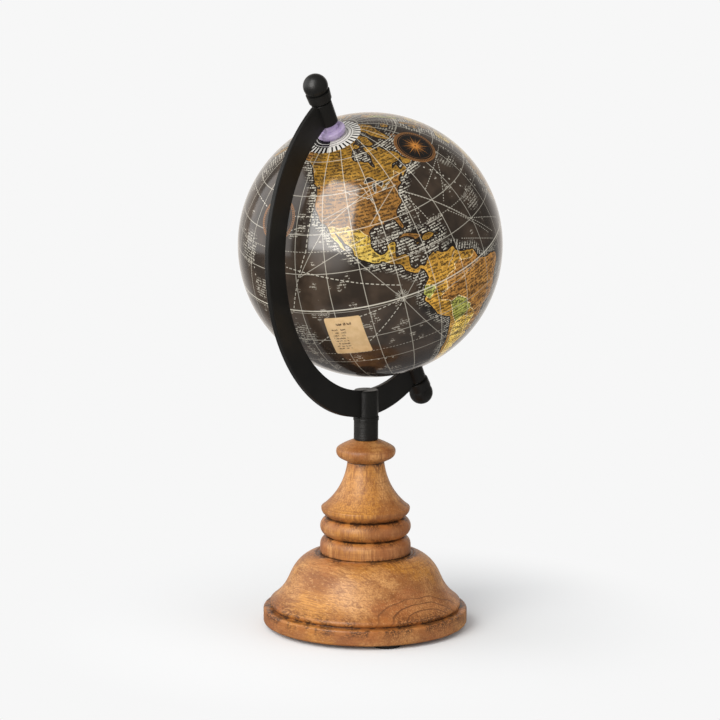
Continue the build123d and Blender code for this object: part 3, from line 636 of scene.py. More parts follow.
def depth_inside(places, outlines, steps):
    """How far each place lies inside any of the outlines, in millimetres; it is negative outside."""
    reach = outline_reach / shell_radius
    depth = np.full(len(places), -outline_reach)
    for outline in outlines.values():
        loop = rounded(outline, steps)
        middle = loop.mean(axis=0) / np.linalg.norm(loop.mean(axis=0))
        spread = math.acos(np.clip((loop @ middle).min(), -1, 1)) + reach
        near = np.flatnonzero(places @ middle > math.cos(min(spread, math.pi)))
        here = places[near]
        flat_x, flat_y = flattened(here, middle)
        loop_x, loop_y = flattened(loop, middle)
        nearest = np.full(len(near), reach**2)
        inside = np.zeros(len(near), bool)
        for index in range(len(loop)):
            last = index - 1
            side = loop[index] - loop[last]
            close = np.flatnonzero(here @ loop[last] > math.cos(reach + np.linalg.norm(side)))
            from_last = here[close] - loop[last]
            share = np.clip(from_last @ side / (side @ side), 0, 1)
            gap = ((from_last - share[:, None] * side) ** 2).sum(axis=1)
            nearest[close] = np.minimum(nearest[close], gap)
            crossed = np.flatnonzero((loop_y[index] > flat_y) != (loop_y[last] > flat_y))
            rise = (flat_y[crossed] - loop_y[last]) / (loop_y[index] - loop_y[last])
            inside[crossed] ^= flat_x[crossed] < loop_x[last] + rise * (loop_x[index] - loop_x[last])
        signed = np.where(inside, 1, -1) * np.sqrt(nearest) * shell_radius
        depth[near] = np.maximum(depth[near], signed)
    return depth


joint = frame["record"]["behaviour"]["joints"][0]
ball_centre = Vector(joint["pos_m"])
axle_direction = Vector(joint["axis"]).normalized()
arc_side = Vector((0, -1, 0)).cross(axle_direction)
axle_frame = Matrix((arc_side, axle_direction.cross(arc_side), axle_direction)).transposed()
map_frame = (
    axle_frame
    @ Matrix.Rotation(math.radians(map_lean), 3, "Y")
    @ Matrix.Rotation(math.radians(map_roll), 3, "X")
    @ Matrix.Rotation(math.radians(map_turn), 3, "Z")
)
axle_to_map = map_frame.inverted() @ axle_frame


def make_shell(node_name, pole):
    """One half of the ball; pole is 1 for the north and -1 for the south."""
    lining_radius = shell_radius - shell_wall
    outer = np.linspace(math.asin(pole_bore_radius / shell_radius), math.pi / 2, shell_rows + 1)
    inner = np.linspace(math.pi / 2, math.asin(pole_bore_radius / lining_radius), lining_rows + 1)
    angle = np.concatenate([outer, inner])
    radius = np.concatenate([np.full(len(outer), shell_radius), np.full(len(inner), lining_radius)])
    turn = np.arange(shell_columns) * 2 * math.pi / shell_columns
    across = (radius * np.sin(angle))[:, None]
    up = (radius * np.cos(angle))[:, None] * pole * np.ones(shell_columns)
    places = np.stack([across * np.cos(turn), across * np.sin(turn) * pole, up], axis=-1).reshape(-1, 3)
    places = places @ np.array(axle_frame).T
    row, column = np.meshgrid(np.arange(len(angle)), np.arange(shell_columns), indexing="ij")
    next_row = (row + 1) % len(angle)
    next_column = (column + 1) % shell_columns
    corners = [(row, column), (next_row, column), (next_row, next_column), (row, next_column)]
    faces = np.stack([ring * shell_columns + step for ring, step in corners], axis=-1).reshape(-1, 4)
    mesh = bpy.data.meshes.new(node_name + "_print")
    mesh.from_pydata((places / METRE).tolist(), [], faces.tolist())
    mesh.shade_smooth()
    mesh.set_sharp_from_angle(angle=math.radians(sharp_angle))
    unit_places = places @ np.array(map_frame) / np.linalg.norm(places, axis=1, keepdims=True)
    for name, (outlines, steps) in map_outlines.items():
        depths = depth_inside(unit_places, outlines, steps).astype(np.float32)
        mesh.attributes.new(name, "FLOAT", "POINT").data.foreach_set("value", depths)
    shell = add_object(node_name + "_print", mesh)
    shell.location = ball_centre
    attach(shell, "globe")
    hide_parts(node_name)
    mesh.materials.append(map_print)


# Print of the map: dark seas, golden lands, a grid, routes, two compasses, a key panel and a polar dial.
# Two shades of a thing are the ends between which its colour varies.
cream = colour(216, 210, 194)
ink = colour(26, 19, 13)
night = colour(18, 16, 15)
lining_grey = colour(196, 192, 184)
sea_shades = (colour(43, 35, 28), colour(71, 58, 47))
south_sea = colour(44, 32, 24)
land_shades = (colour(178, 134, 52), colour(132, 96, 32))
orange_shades = (colour(164, 117, 55), colour(126, 85, 36))
yellow_shades = (colour(222, 192, 96), colour(190, 152, 58))
green_shades = (colour(154, 156, 78), colour(124, 124, 50))
stain_brown = colour(74, 48, 16)
border_cream = colour(220, 204, 160)

grid_step = 15.0
grid_end = 75.4
grid_width = 0.3
tropic_latitude = 23.5
tropic_dash_length = 1.6
equator_width = 0.55
equator_gap = 1.2
river_wobble = 3.0
sea_row_pitch = 1.3
land_row_pitch = 1.65
slant_slope = 0.9
name_slope = 0.35

# Zones of the map: where a change begins and where it is complete, in degrees or as coast depths
south_sea_zone = (-22.0, -46.0)
# Lands south of 5 degrees latitude are brightened to about twice, fading out by 15 degrees: painted fill
# light on the ball's lower half
painted_fill_land_zone = (15.0, 5.0)
strong_print_zone = (66.0, 58.0)
slant_longitudes = (-66.0, -62.0)
slant_latitudes = (16.0, 12.0)
coast_shade_zone = (-1.5, -6.5)
coast_print_zone = (-5.2, -2.6)
coast_gap_zone = (-0.5, -0.9)
land_print_zone = (0.2, 0.5)

dial_radius = 13.4
dial_rings = [(7.6, 0.3), (9.2, 0.3)]
dial_ticks = 36
dial_tick_start = 10.0
dial_tick_half_width = 0.41
dial_day_bearing = 22.0
dial_ground = colour(214, 211, 204)
dial_marks = colour(206, 203, 196)

# Compasses: (latitude, longitude) of each; a star is its rays, length, half width and turn in ray steps
compass_places = [(50.1, -37.2), (34.9, -148.9)]
compass_radius = 10.4
compass_bead_radius = 9.5
compass_field_radius = 8.9
compass_fine_ring_radius = 8.1
compass_loop_radius = 1.2
compass_beads = 60
compass_stars = [(16, 4.4, 0.12, 0.5), (8, 5.4, 0.20, 0.5), (8, 6.8, 0.30, 0.0)]
ring_gold = colour(128, 87, 48)
bead_brown = colour(40, 26, 16)
star_gold = colour(196, 128, 54)

# Key panel: what is on it is placed to the right of and above its middle
panel_place = (-13.4, -117.6)
panel_half_width = 8.9
panel_half_height = 11.5
panel_corner = 1.2
panel_heading_height = 7.6
panel_heading_pitch = 2.6
panel_heading_half_width = 4.2
panel_heading_band = 2.2
panel_rows = (-8.25, 5.05)
panel_row_start = (-6.9, -6.6)
panel_row_end = (0.4, -0.4)
panel_row_pitch = 1.75
panel_signs = (3.3, 6.3)
panel_shades = (colour(226, 192, 144), colour(214, 178, 128))
panel_ink = colour(62, 38, 20)
panel_white = colour(236, 224, 196)

burst_places = [(0.8, -90.4), (-38, 20), (-20, 80)]
burst_rays = 16
burst_edge = (3.4, 2.8)
burst_heart = (0.7, 1.1)

# Patches of fine print on the open sea: (latitude, longitude) of the middle, and reach
print_patches = [
    ((-12.4, -138.2), 8), ((39, -28), 8), ((21, -38), 7), ((20, -18), 9), ((20, -168), 10), ((6, -158), 6),
    ((50, 168), 8), ((-30, -15), 9),
]

# Ends of the routes, bearing lines, rows of dots and rivers as (latitude, longitude)
dashed_routes = [
    ((17.4, -140), (10, -107)), ((10, -107), (4.9, -89.3)), ((45.4, -124.5), (23.9, -129.1)),
    ((23.9, -129.1), (-0.8, -139.5)), ((-1.1, -90), (-17.2, -108.5)), ((-4, -109.6), (-0.2, -89.8)),
    ((-17.9, -133.8), (-12.3, -125.5)), ((35.9, -150), (36.6, -121.5)), ((28, -150), (34.3, -122.6)),
    ((-34.5, 18), (-30, 115)), ((-34.5, 18), (14, -18)), ((35, 141), (38, 200)), ((7, 80), (-33, 115)),
]
fine_routes = [
    ((38.7, -73.6), (16.1, -46.7)), ((16.1, -46.7), (3.5, -33.6)), ((34.4, -60.3), (42.1, -20.6)),
    ((40.2, -36.9), (27, -54.7)), ((35.8, -70.4), (24.4, -71.9)), ((39.3, -74), (26.1, -76.8)),
    ((39.3, -74), (23.3, -67.2)), ((15.8, -47), (4.7, -23.3)), ((23.5, -55.9), (4.6, -37.2)),
    ((11.3, -56), (0.8, -34.5)), ((42.1, -20.6), (20, -18)), ((49.5, -5.5), (40.6, -70)),
    ((40, 150), (22, 180)), ((-10, 50), (18, 70)),
]
bearing_lines = [
    ((-1.1, -90), (31.1, -118.3)), ((-1.1, -90), (-30.3, -72.5)), ((13.8, -133.1), (26.3, -99.1)),
    ((35, -120.3), (41.5, -73.8)), ((39.3, -74), (15.8, -47)), ((13.8, -133.1), (33, -118)),
    ((33, -117), (45, -82)), ((30, -96), (42, -74)), ((-1.1, -90), (8, -80)), ((-20, 80), (5, 60)),
    ((-20, 80), (-5, 105)), ((-38, 20), (-10, -12)),
]
dotted_rows = [
    ((44, -52), (22, -36)), ((38, -28), (20, -28)), ((-27, -128), (-31, -98)), ((26, -165), (4, -160)),
    ((-24, -30), (-30, 8)), ((-26, 60), (-30, 100)),
]
rivers = [
    ((-4.5, -73), (-3, -60)), ((-3, -60), (-0.5, -50.5)), ((8.5, -62), (4, -67.5)),
    ((47, -95), (38.5, -90.2)), ((38.5, -90.2), (29.5, -90)), ((39, -90.5), (47, -110)),
    ((31, 31), (15.5, 32.5)), ((15.5, 32.5), (0.5, 32.5)), ((-6, 12.5), (1.5, 20)),
    ((45, 29.5), (48, 12)), ((46, 48), (57, 42)), ((31, 121), (29, 104)),
]


def place(latitude, longitude):
    """The unit vector of a place on the map."""
    return Vector(map_direction(longitude, latitude))


def place_axes(latitude, longitude):
    """The directions out, east and north at a place."""
    out = place(latitude, longitude)
    east = Vector((0, 0, 1)).cross(out).normalized()
    return out, east, out.cross(east)


def off_ray(bearing, count, turn=0.0):
    """The angle from the nearest of some evenly spaced rays."""
    step = 2 * math.pi / count
    return (fraction(bearing / step + (0.5 + turn)) - 0.5) * step


def round_patch(point, middle, reach):
    """1 near a place and 0 beyond a reach, measured along the ball."""
    edge, full = [shell_radius * math.cos(share * reach / shell_radius) for share in (1, 0.6)]
    return slide(along(point, place(*middle)), edge, full)


def route_group(name, width, dash_length=None, dash_share=1.0):
    """A line along a great circle about normal, within half of its middle, perhaps broken into dashes."""
    def build(point, normal, middle, tangent, half):
        turn = calculate("ARCTAN2", along(point, tangent), along(point, middle))
        distance = turn * shell_radius
        line = stroke(along(point, normal), width) * up_to(abs(distance) - half, 0.0, 0.2)
        if dash_length:
            off_dash = abs(fraction(distance / dash_length) - 0.5)
            line = line * up_to(off_dash, dash_share / 2, 0.04)
        return line
    return Group(name, ["Vector"] * 4 + ["Float"], "Float", build)


def routes(group, point, ends):
    """The lines of a group between pairs of places."""
    def line(start, end):
        first, second = place(*start), place(*end)
        normal = first.cross(second).normalized()
        middle = (first + second).normalized()
        half = first.angle(second) / 2 * shell_radius
        return group(point, normal, middle, normal.cross(middle), half)
    return largest(line(start, end) for start, end in ends)


def build_fine_print(across, sideways, pitch, seed):
    """Rows of small ragged bars that look like fine print from afar and say nothing."""
    row = whole(across / pitch)
    off_row = across / pitch - row - 0.5
    ragged = noise(join(sideways + off_row * 0.6, across, row * 3.7 + seed), 0.6, 2.0, 0.6) - 0.5
    words = noise(join(sideways, row * 41.0 + seed, 0.0), 1.7, 1.0)
    return slide(abs(off_row + ragged * 0.7) + ragged * 1.5, 0.25, 0.13) * slide(words, 0.42, 0.46)


fine_print = Group("fine_print", ["Float"] * 4, "Float", build_fine_print)


def pointed_star(distance, bearing, count, length, half_width, turn):
    """A star of tapering rays."""
    off = off_ray(bearing, count, turn)
    aside = abs(calculate("SINE", off) * distance)
    ahead = calculate("COSINE", off) * distance
    return up_to(aside + ahead * (half_width / length), half_width, 0.08)


def build_compass(base, point, out, east, north):
    """A compass: a gold ring with a loop, a dark field and a gold star."""
    rightward, upward = along(point, east), along(point, north)
    distance, bearing = polar(upward, rightward)
    front = slide(along(point, out), 0.0, 1.0)
    loop = hypotenuse(upward - (compass_radius + compass_loop_radius * 0.8), rightward)
    base = blend(stroke(loop - compass_loop_radius, 0.5) * front, base, ring_gold)
    beads = slide(abs(off_ray(bearing, compass_beads)), 0.03, 0.015)
    beads = beads * stroke(distance - compass_bead_radius, 0.7)
    rim = blend(beads, ring_gold, bead_brown)
    base = blend(up_to(distance, compass_radius) * front, base, rim)
    base = blend(up_to(distance, compass_field_radius) * front, base, night)
    base = blend(stroke(distance - compass_fine_ring_radius, 0.2) * front * 0.5, base, ring_gold)
    stars = largest(pointed_star(distance, bearing, *star) for star in compass_stars)
    base = blend(stars * front, base, star_gold)
    return blend(up_to(distance, 0.45, 0.15) * front, base, night)


compass = Group("compass", ["Color"] + ["Vector"] * 4, "Color", build_compass)


def build_burst(point, out, east, north):
    """A small burst of rays where bearing lines meet."""
    distance, bearing = polar(along(point, north), along(point, east))
    rays = stroke(off_ray(bearing, burst_rays) * distance, 0.22)
    rays = rays * slide(distance, *burst_edge) * slide(distance, *burst_heart)
    return rays * slide(along(point, out), 0.0, 1.0)


burst = Group("burst", ["Vector"] * 4, "Float", build_burst)


def build_panel(base, latitude, longitude, degree_width):
    """A tan panel with a heading, rows of marks and a column of signs."""
    upward = (latitude - panel_place[0] * south_stretch) * degree_length
    rightward = (longitude - panel_place[1]) * degree_width
    beyond_side = calculate("MAXIMUM", abs(rightward) - (panel_half_width - panel_corner), 0.0)
    beyond_end = calculate("MAXIMUM", abs(upward) - (panel_half_height - panel_corner), 0.0)
    inside = up_to(hypotenuse(beyond_side, beyond_end), panel_corner, 0.15)
    shade = noise(join(rightward, upward, 0.0), 5.0, 3.0, 0.6)
    tan = blend(slide(shade, 0.35, 0.65), *panel_shades)
    above_heading = upward - panel_heading_height
    heading = fine_print(above_heading + panel_heading_pitch / 2, rightward, panel_heading_pitch, 5.0)
    heading = heading * stroke(above_heading, panel_heading_band)
    heading = heading * up_to(abs(rightward), panel_heading_half_width, 0.2)
    body = band(upward, *panel_rows, 0.15)
    rows = fine_print(upward, rightward, panel_row_pitch, 9.0)
    rows = rows * body * slide(rightward, *panel_row_start) * slide(rightward, *panel_row_end)
    row_middle = fraction(upward / panel_row_pitch) - 0.5
    signs = stroke(row_middle * panel_row_pitch, 0.4) * body
    signs = signs * band(rightward, *panel_signs, 0.1)
    row = whole(upward / panel_row_pitch)
    choice = noise(join(0.0, row * 7.0, 0.0), 1.0)
    tan = blend(larger(heading * 0.9, rows * 0.75), tan, panel_ink)
    tan = blend(signs * slide(choice, 0.5, 0.52), tan, panel_white)
    tan = blend(signs * slide(choice, 0.45, 0.43) * 0.7, tan, panel_ink)
    return blend(inside, base, tan)


panel = Group("key_panel", ["Color"] + ["Float"] * 3, "Color", build_panel)


def build_dial(base, point):
    """A dial of hours round the north end of the axle, pale by day and black by night."""
    side, turned, pole = [Vector(axis) for axis in axle_to_map.col]
    distance, bearing = polar(along(point, side), along(point, turned))
    front = slide(along(point, pole), 0.0, 1.0)
    day = slide(calculate("SINE", bearing - math.radians(dial_day_bearing)), -0.01, 0.01)
    ticks = up_to(abs(off_ray(bearing, dial_ticks)) * distance, dial_tick_half_width, 0.11)
    ticks = ticks * slide(distance, dial_tick_start - 0.2, dial_tick_start + 0.2)
    ticks = larger(ticks, *[stroke(distance - radius, width) for radius, width in dial_rings])
    ground = blend(day, night, dial_ground)
    marks = blend(day, dial_marks, night)
    face = blend(ticks, ground, marks)
    return blend(up_to(distance, dial_radius) * front, base, face)


dial = Group("polar_dial", ["Color", "Vector"], "Color", build_dial)


def build_lands(point, *regions):
    """Colours of the lands, with worn patches and pale borders, from the depths inside their regions."""
    mottle = slide(noise(point, 5.0, 5.0, 0.65), 0.34, 0.66)
    stain = noise(point, 1.2, 3.0, 0.6)
    land = blend(mottle, *land_shades)
    for region, shades in zip(regions, (orange_shades, yellow_shades, green_shades)):
        land = blend(slide(region, -0.1, 0.1), land, blend(mottle, *shades))
    land = blend(slide(stain, 0.48, 0.70) * 0.5, land, stain_brown)
    borders = largest(stroke(region, 0.3) for region in regions)
    return blend(borders * slide(stain, 0.36, 0.48) * 0.8, land, border_cream)


lands = Group("lands", ["Vector"] + ["Float"] * 3, "Color", build_lands)


def print_material():
    """Everything that is printed on the ball, under a gloss lacquer."""
    material, shader, from_centre = new_material("map_print")
    tree = from_centre.tree
    point = join(*[along(from_centre, axis) for axis in map_frame.col])
    x, y, z = split(point)
    size = root(x * x + y * y + z * z)
    latitude = calculate("ARCSINE", z / size) * DEGREE
    stretch = calculate("GREATER_THAN", z, 0.0) * (north_stretch - south_stretch) + south_stretch
    map_latitude = latitude / stretch
    longitude = calculate("ARCTAN2", y, x) * DEGREE
    degree_width = hypotenuse(x, y) / size * degree_length
    upward = latitude * degree_length
    eastward = longitude * degree_width

    def row_length(pitch):
        """Distance along a row of fine print, which runs along a parallel."""
        row = whole(upward / pitch)
        return longitude * calculate("COSINE", (row + 0.5) * (pitch / shell_radius)) * degree_length

    # Seas, with fine print off the coasts
    coast = attribute(tree, "coast") + (noise(point, 1.4, 4.0, 0.62) - 0.5) * 1.1
    swell = noise(point, 16.0, 3.0, 0.55)
    sea = blend(slide(swell, 0.35, 0.68), *sea_shades)
    sea = blend(slide(map_latitude, *south_sea_zone) * 0.7, sea, south_sea)
    sea = brighten(sea, slide(coast, *coast_shade_zone) * 0.6 + 0.45)
    patchy = noise(point, 8.0, 2.0, 0.5)
    sea_rows = fine_print(upward, row_length(sea_row_pitch), sea_row_pitch, 50.0)
    slant_across = eastward - upward * slant_slope
    slant_sideways = upward + eastward * slant_slope
    slant_rows = fine_print(slant_across, slant_sideways, sea_row_pitch * 1.6, 90.0)
    slanted = slide(longitude, *slant_longitudes) * slide(map_latitude, *slant_latitudes)
    off_coast = slide(coast, *coast_print_zone) * slide(coast, *coast_gap_zone) * slide(patchy, 0.36, 0.46)
    patches = largest(round_patch(point, middle, reach) for middle, reach in print_patches)
    open_sea = larger(slide(patchy, 0.62, 0.66), patches * slide(patchy, 0.38, 0.46))
    open_sea = open_sea * slide(coast, *coast_gap_zone)
    sea_print = larger(
        sea_rows * off_coast * (1.0 - slanted), slant_rows * off_coast * slanted, sea_rows * open_sea * 0.7
    )
    print_strength = slide(map_latitude, *strong_print_zone) * 0.55 + 0.2
    sea = blend(sea_print * print_strength, sea, cream)

    # Lands, with rows of ink, and painted fill light that brightens the south
    region_depths = [attribute(tree, name) for name in ("orange_land", "yellow_land", "green_land")]
    land = lands(point, *region_depths)
    # Painted fill light: the lands brighten towards the south
    land = brighten(land, slide(map_latitude, *painted_fill_land_zone) * 1.1 + 1.0)
    land_rows = fine_print(upward, row_length(land_row_pitch), land_row_pitch, 0.0)
    name_across = upward + eastward * name_slope
    name_sideways = eastward - upward * name_slope
    names = fine_print(name_across, name_sideways, land_row_pitch * 2.1, 20.0)
    land_ink = larger(land_rows, names * slide(noise(point, 6.0), 0.44, 0.52))
    land = blend(land_ink * slide(coast, *land_print_zone) * 0.82, land, ink)
    base = blend(slide(coast, -0.12, 0.12), sea, land)
    lake = attribute(tree, "lake")
    base = blend(slide(lake, -0.1, 0.1), base, sea)
    base = blend(stroke(lake, 0.22) * 0.6, base, cream)

    # Grid and lines
    off_parallel = (fraction(map_latitude / grid_step + 0.5) - 0.5) * stretch * (grid_step * degree_length)
    off_meridian = (fraction(longitude / grid_step + 0.5) - 0.5) * degree_width * grid_step
    grid = larger(stroke(off_parallel, grid_width), stroke(off_meridian, grid_width))
    grid = grid * up_to(abs(map_latitude), grid_end, 0.2)
    base = blend(grid * 0.62, base, cream)
    tropic = stroke((abs(map_latitude) - tropic_latitude) * stretch * degree_length, grid_width)
    tropic = tropic * up_to(abs(fraction(longitude * degree_width / tropic_dash_length) - 0.5), 0.3, 0.04)
    wobbles = [noise(point, scale, 3.0) * river_wobble - river_wobble / 2 for scale in (2.6, 2.7, 2.8)]
    water = routes(route_group("river", width=0.25), moved(point, join(*wobbles)), rivers)
    lines = routes(route_group("bearing_line", width=0.22), point, bearing_lines)
    dashed_group = route_group("dashed_route", width=0.36, dash_length=2.4, dash_share=0.62)
    dashes = routes(dashed_group, point, dashed_routes)
    fine_group = route_group("fine_route", width=0.3, dash_length=1.5, dash_share=0.55)
    fine_dashes = routes(fine_group, point, fine_routes)
    dot_group = route_group("dotted_row", width=0.7, dash_length=3.4, dash_share=0.22)
    dots = routes(dot_group, point, dotted_rows)
    bursts = largest(burst(point, *place_axes(*centre)) for centre in burst_places)
    equator = larger(stroke(upward, equator_width), stroke(upward + equator_gap, 0.2) * 0.6)
    printed = larger(lines * 0.65, dashes * 0.9, fine_dashes * 0.8, dots * 0.8, bursts * 0.7)
    printed = larger(printed, tropic * 0.6, equator, water * 0.75)
    base = blend(printed * 0.92, base, cream)

    # Ornaments
    for centre in compass_places:
        base = compass(base, point, *place_axes(*centre))
    base = panel(base, latitude, longitude, degree_width)
    base = dial(base, point)

    # Bare lining, and lacquer over the print
    base = blend(slide(size, shell_radius - 1.0, shell_radius - 0.5), lining_grey, base)
    lacquer = {"Specular IOR Level": 0.05, "Coat Weight": 1.0, "Coat Roughness": 0.12, "Coat IOR": 1.65}
    feed(shader, {"Base Color": base, "Roughness": 0.55 + swell * 0.15, **lacquer})
    return material


map_print = print_material()
make_shell("north_shell", 1)
make_shell("south_shell", -1)


# Wood of the stand: growth rings about a line, fibres along it, marks of turning, and stain and painted
# shade in the grooves
def wood_material(
    name, grain, sideways, pith, ring_pitch, ring_reach, ring_flatness, speckling, groove_stain_and_shade, stain_and_shade_zone
):
    """Honey-brown wood with fibres along grain and growth rings about the pith."""
    material, shader, place_in_stand = new_material(name)
    height = split(place_in_stand)[2]
    across = along(place_in_stand, sideways)
    upright = along(place_in_stand, grain.cross(sideways))
    point = join(across, upright, along(place_in_stand, grain))

    drift = noise(point, 30.0, 2.0, 0.5, (1.0, 1.0, 2.0)) - 0.5
    radius = hypotenuse(across - pith[0] + drift * 6.0, (upright - pith[1] + drift * 6.0) * ring_flatness)
    wander = noise(point, 6.0, 3.0, 0.6, (1.0, 1.0, 3.0))
    ring = fraction((radius + wander * 1.8) / ring_pitch)
    ring_lines = slide(ring, 0.74, 0.95) * slide(ring, 1.0, 0.96)
    ring_lines = ring_lines * slide(radius, ring_reach, ring_reach * 0.6)
    ring_lines = ring_lines * slide(height, rim_top, rim_top + 2.0)
    clouds = noise(point, 16.0, 4.0, 0.6, (1.0, 1.0, 1.8))
    gold = noise(point, 26.0, 2.0, 0.5, (1.0, 1.0, 1.3))
    figure = noise(point, 2.6, 4.0, 0.65, (1.0, 1.0, 5.0))
    streaks = noise(point, 0.7, 3.0, 0.65, (1.0, 1.0, 18.0))
    speckle = noise(point, 0.7, 3.0, 0.7, (1.0, 1.0, 2.5))
    turning = noise(place_in_stand, 0.6, 3.0, 0.6, (60.0, 60.0, 1.0))
    blotches = noise(point, 9.0, 3.0, 0.6)

    base = blend(slide(clouds, 0.36, 0.64), colour(209, 151, 89), colour(160, 100, 46))
    layers = [
        (gold, 0.50, 0.62, 0.6, colour(202, 136, 44)),
        (gold, 0.46, 0.34, 0.5, colour(176, 102, 52)),
        (figure, 0.50, 0.64, 0.55, colour(130, 76, 32)),
        (streaks, 0.44, 0.62, 0.5, colour(132, 77, 33)),
        (turning, 0.50, 0.66, 0.4, colour(134, 78, 34)),
        (speckle, 0.54, 0.72, speckling, colour(236, 186, 124)),
        (speckle, 0.44, 0.28, speckling, colour(108, 60, 26)),
    ]
    for pattern, start, end, strength, tone in layers:
        base = blend(slide(pattern, start, end) * strength, base, tone)
    base = blend(ring_lines * 0.85, base, colour(92, 52, 25))
    # Painted shade, partly darker stain: the sideways-facing rim and ring beads are darkened
    shade_and_stain_band = band(height, *stain_and_shade_zone, 1.0)
    base = blend(shade_and_stain_band * slide(clouds, 0.25, 0.70) * 0.5, base, colour(144, 84, 42))
    # Grooves and the joints with the floor and the column: an orange stain, dark blots of stain, and a dark
    # line that is painted shade in the crease
    for level, width, spread in groove_stain_and_shade:
        near = stroke(height - level, spread, spread / 2)
        base = blend(near * 0.45, base, colour(178, 106, 40))
        blots = near * slide(blotches, 0.42, 0.54) * slide(speckle, 0.60, 0.44)
        base = blend(blots * 0.9, base, colour(52, 30, 17))
        line = stroke(height - level, width) * slide(blotches, 0.30, 0.50)
        base = blend(line * 0.8, base, colour(48, 28, 16))

    roughness = 0.38 + streaks * 0.16
    normal = bumps(streaks * 0.5 + speckle * 0.6 + turning * 0.4 - ring_lines * 0.3, 0.18)
    satin = {"Coat Weight": 0.12, "Coat Roughness": 0.32}
    feed(shader, {"Base Color": base, "Roughness": roughness, "Normal": normal, **satin})
    return material


grain_turn = math.radians(plinth_grain_turn)
level_grain = Vector((math.cos(grain_turn), math.sin(grain_turn), 0))
upright_grain = Vector((0, 0, 1))
plinth_wood = wood_material("plinth_wood", level_grain, upright_grain.cross(level_grain), **plinth_figure)
column_wood = wood_material("column_wood", upright_grain, Vector((1, 0, 0)), **column_figure)
dress(plinth_wood, "base_plinth")
dress(column_wood, "column")


# Black paint of the metal pieces: satin, with a fine orange-peel surface
def paint_material(name, gloss, turned_depth=0.0):
    """Black paint; turned_depth is how deep the lines of turning about an upright axis show through it."""
    material, shader, point = new_material(name)
    grain = noise(point, 0.35, 2.0, 0.6)
    cloud = noise(point, 14.0, 2.0, 0.5)
    wear = noise(point, 1.1, 4.0, 0.7)
    turned = noise(point, 0.5, 2.0, 0.6, (200.0, 200.0, 1.0))
    base = blend(cloud, colour(20, 20, 19), colour(31, 30, 28))
    base = blend(slide(wear, 0.60, 0.78) * 0.5, base, colour(44, 41, 36))
    roughness = 0.32 + cloud * 0.10 + grain * 0.06
    normal = bumps(grain * 0.03 + turned * turned_depth, 1.0)
    constants = {"Specular IOR Level": gloss}
    feed(shader, {"Base Color": base, "Roughness": roughness, "Normal": normal, **constants})
    return material


# Plated steel of the rods and washers: brushed, with faint tarnish
def steel_material():
    material, shader, point = new_material("plated_steel")
    brushed = noise(point, 0.2, 3.0, 0.6, (1.0, 1.0, 12.0))
    tarnish = noise(point, 5.0, 3.0, 0.6)
    base = blend(slide(tarnish, 0.4, 0.7), colour(196, 197, 198), colour(164, 162, 158))
    roughness = 0.28 + brushed * 0.2
    normal = bumps(brushed, 0.02)
    feed(shader, {"Base Color": base, "Roughness": roughness, "Normal": normal, "Metallic": 1.0})
    return material


# Rubber of the pads: matte, with fine dust in its grain
def rubber_material():
    material, shader, point = new_material("pad_rubber")
    grain = noise(point, 0.4, 3.0, 0.6)
    dust = noise(point, 4.0, 3.0, 0.6)
    base = blend(slide(dust, 0.5, 0.8), colour(26, 26, 26), colour(44, 43, 42))
    feed(shader, {"Base Color": base, "Roughness": 0.75 + grain * 0.2, "Normal": bumps(grain, 0.05)})
    return material


# Plastic of the bushes: glossy lilac that lets a little light through
def lilac_material():
    material, shader, point = new_material("lilac_plastic")
    cloud = noise(point, 3.0, 3.0, 0.6)
    base = blend(slide(cloud, 0.3, 0.7), colour(214, 198, 230), colour(184, 164, 208))
    clear = {"Transmission Weight": 0.25, "IOR": 1.49}
    feed(shader, {"Base Color": base, "Roughness": 0.10 + cloud * 0.08, **clear})
    return material


# Plain moulded plastic of the seam ring
def ring_material():
    material, shader, point = new_material("ring_plastic")
    cloud = noise(point, 6.0, 3.0, 0.6)
    grain = noise(point, 0.5, 2.0, 0.6)
    base = blend(cloud, colour(182, 180, 172), colour(198, 196, 190))
    feed(shader, {"Base Color": base, "Roughness": 0.5 + grain * 0.15, "Normal": bumps(grain, 0.02)})
    return material


satin_paint = paint_material("satin_black_paint", gloss=0.45)
dress(paint_material("turned_black_paint", gloss=0.38, turned_depth=0.25), "post")
dress(satin_paint, "upper_ball_nut", "lower_ball_nut", "upper_cup", "lower_cup")
dress(paint_material("black_paint", gloss=0.32), "meridian_arc", "upper_sleeve", "lower_sleeve")
dress(steel_material(), "axle", "upper_washer", "lower_washer", "tie_rod", "tie_washer", "tie_nut")
dress(rubber_material(), "foot_pad_1", "foot_pad_2", "foot_pad_3", "centre_pad")
dress(lilac_material(), "upper_bush", "lower_bush")
dress(ring_material(), "seam_ring")


# Floor, world and lamps
def ray(tree, kind):
    """1 for rays of a kind and 0 for all others."""
    return new_node(tree, "LightPath", {}, kind)


def seen_directly(tree):
    """1 for what the camera sees, straight or through something clear, and 0 for light on the object."""
    return larger(ray(tree, "Is Camera Ray"), ray(tree, "Is Transmission Ray"))


def make_floor():
    """A round sheet of paper that fades into the background at its edge."""
    reach = floor_reach / METRE
    turns = [2 * math.pi * step / floor_sides for step in range(floor_sides)]
    corners = [(reach * math.cos(turn), reach * math.sin(turn), 0) for turn in turns]
    mesh = bpy.data.meshes.new("floor")
    mesh.from_pydata(corners, [], [range(floor_sides)])
    add_object("floor", mesh)
    material, shader, point = new_material("floor_paper")
    tree = point.tree
    x, y, _ = split(point)
    seen = seen_directly(tree)
    paper = blend(ray(tree, "Is Glossy Ray"), grey(floor_bounce), grey(floor_mirror))
    paper = blend(seen, paper, floor_white)
    feed(shader, {"Base Color": paper, "Roughness": 1.0, "Specular IOR Level": 0.0})
    glow = new_node(tree, "Emission", {"Color": grey(1.0), "Strength": background_level})
    plain = slide(hypotenuse(x, y), floor_fade_start, floor_fade_end)
    surface = combine("MixShader", {0: seen * plain, 1: Field(shader.outputs[0]), 2: glow})
    feed(tree.nodes["Material Output"], {"Surface": surface})
    mesh.materials.append(material)


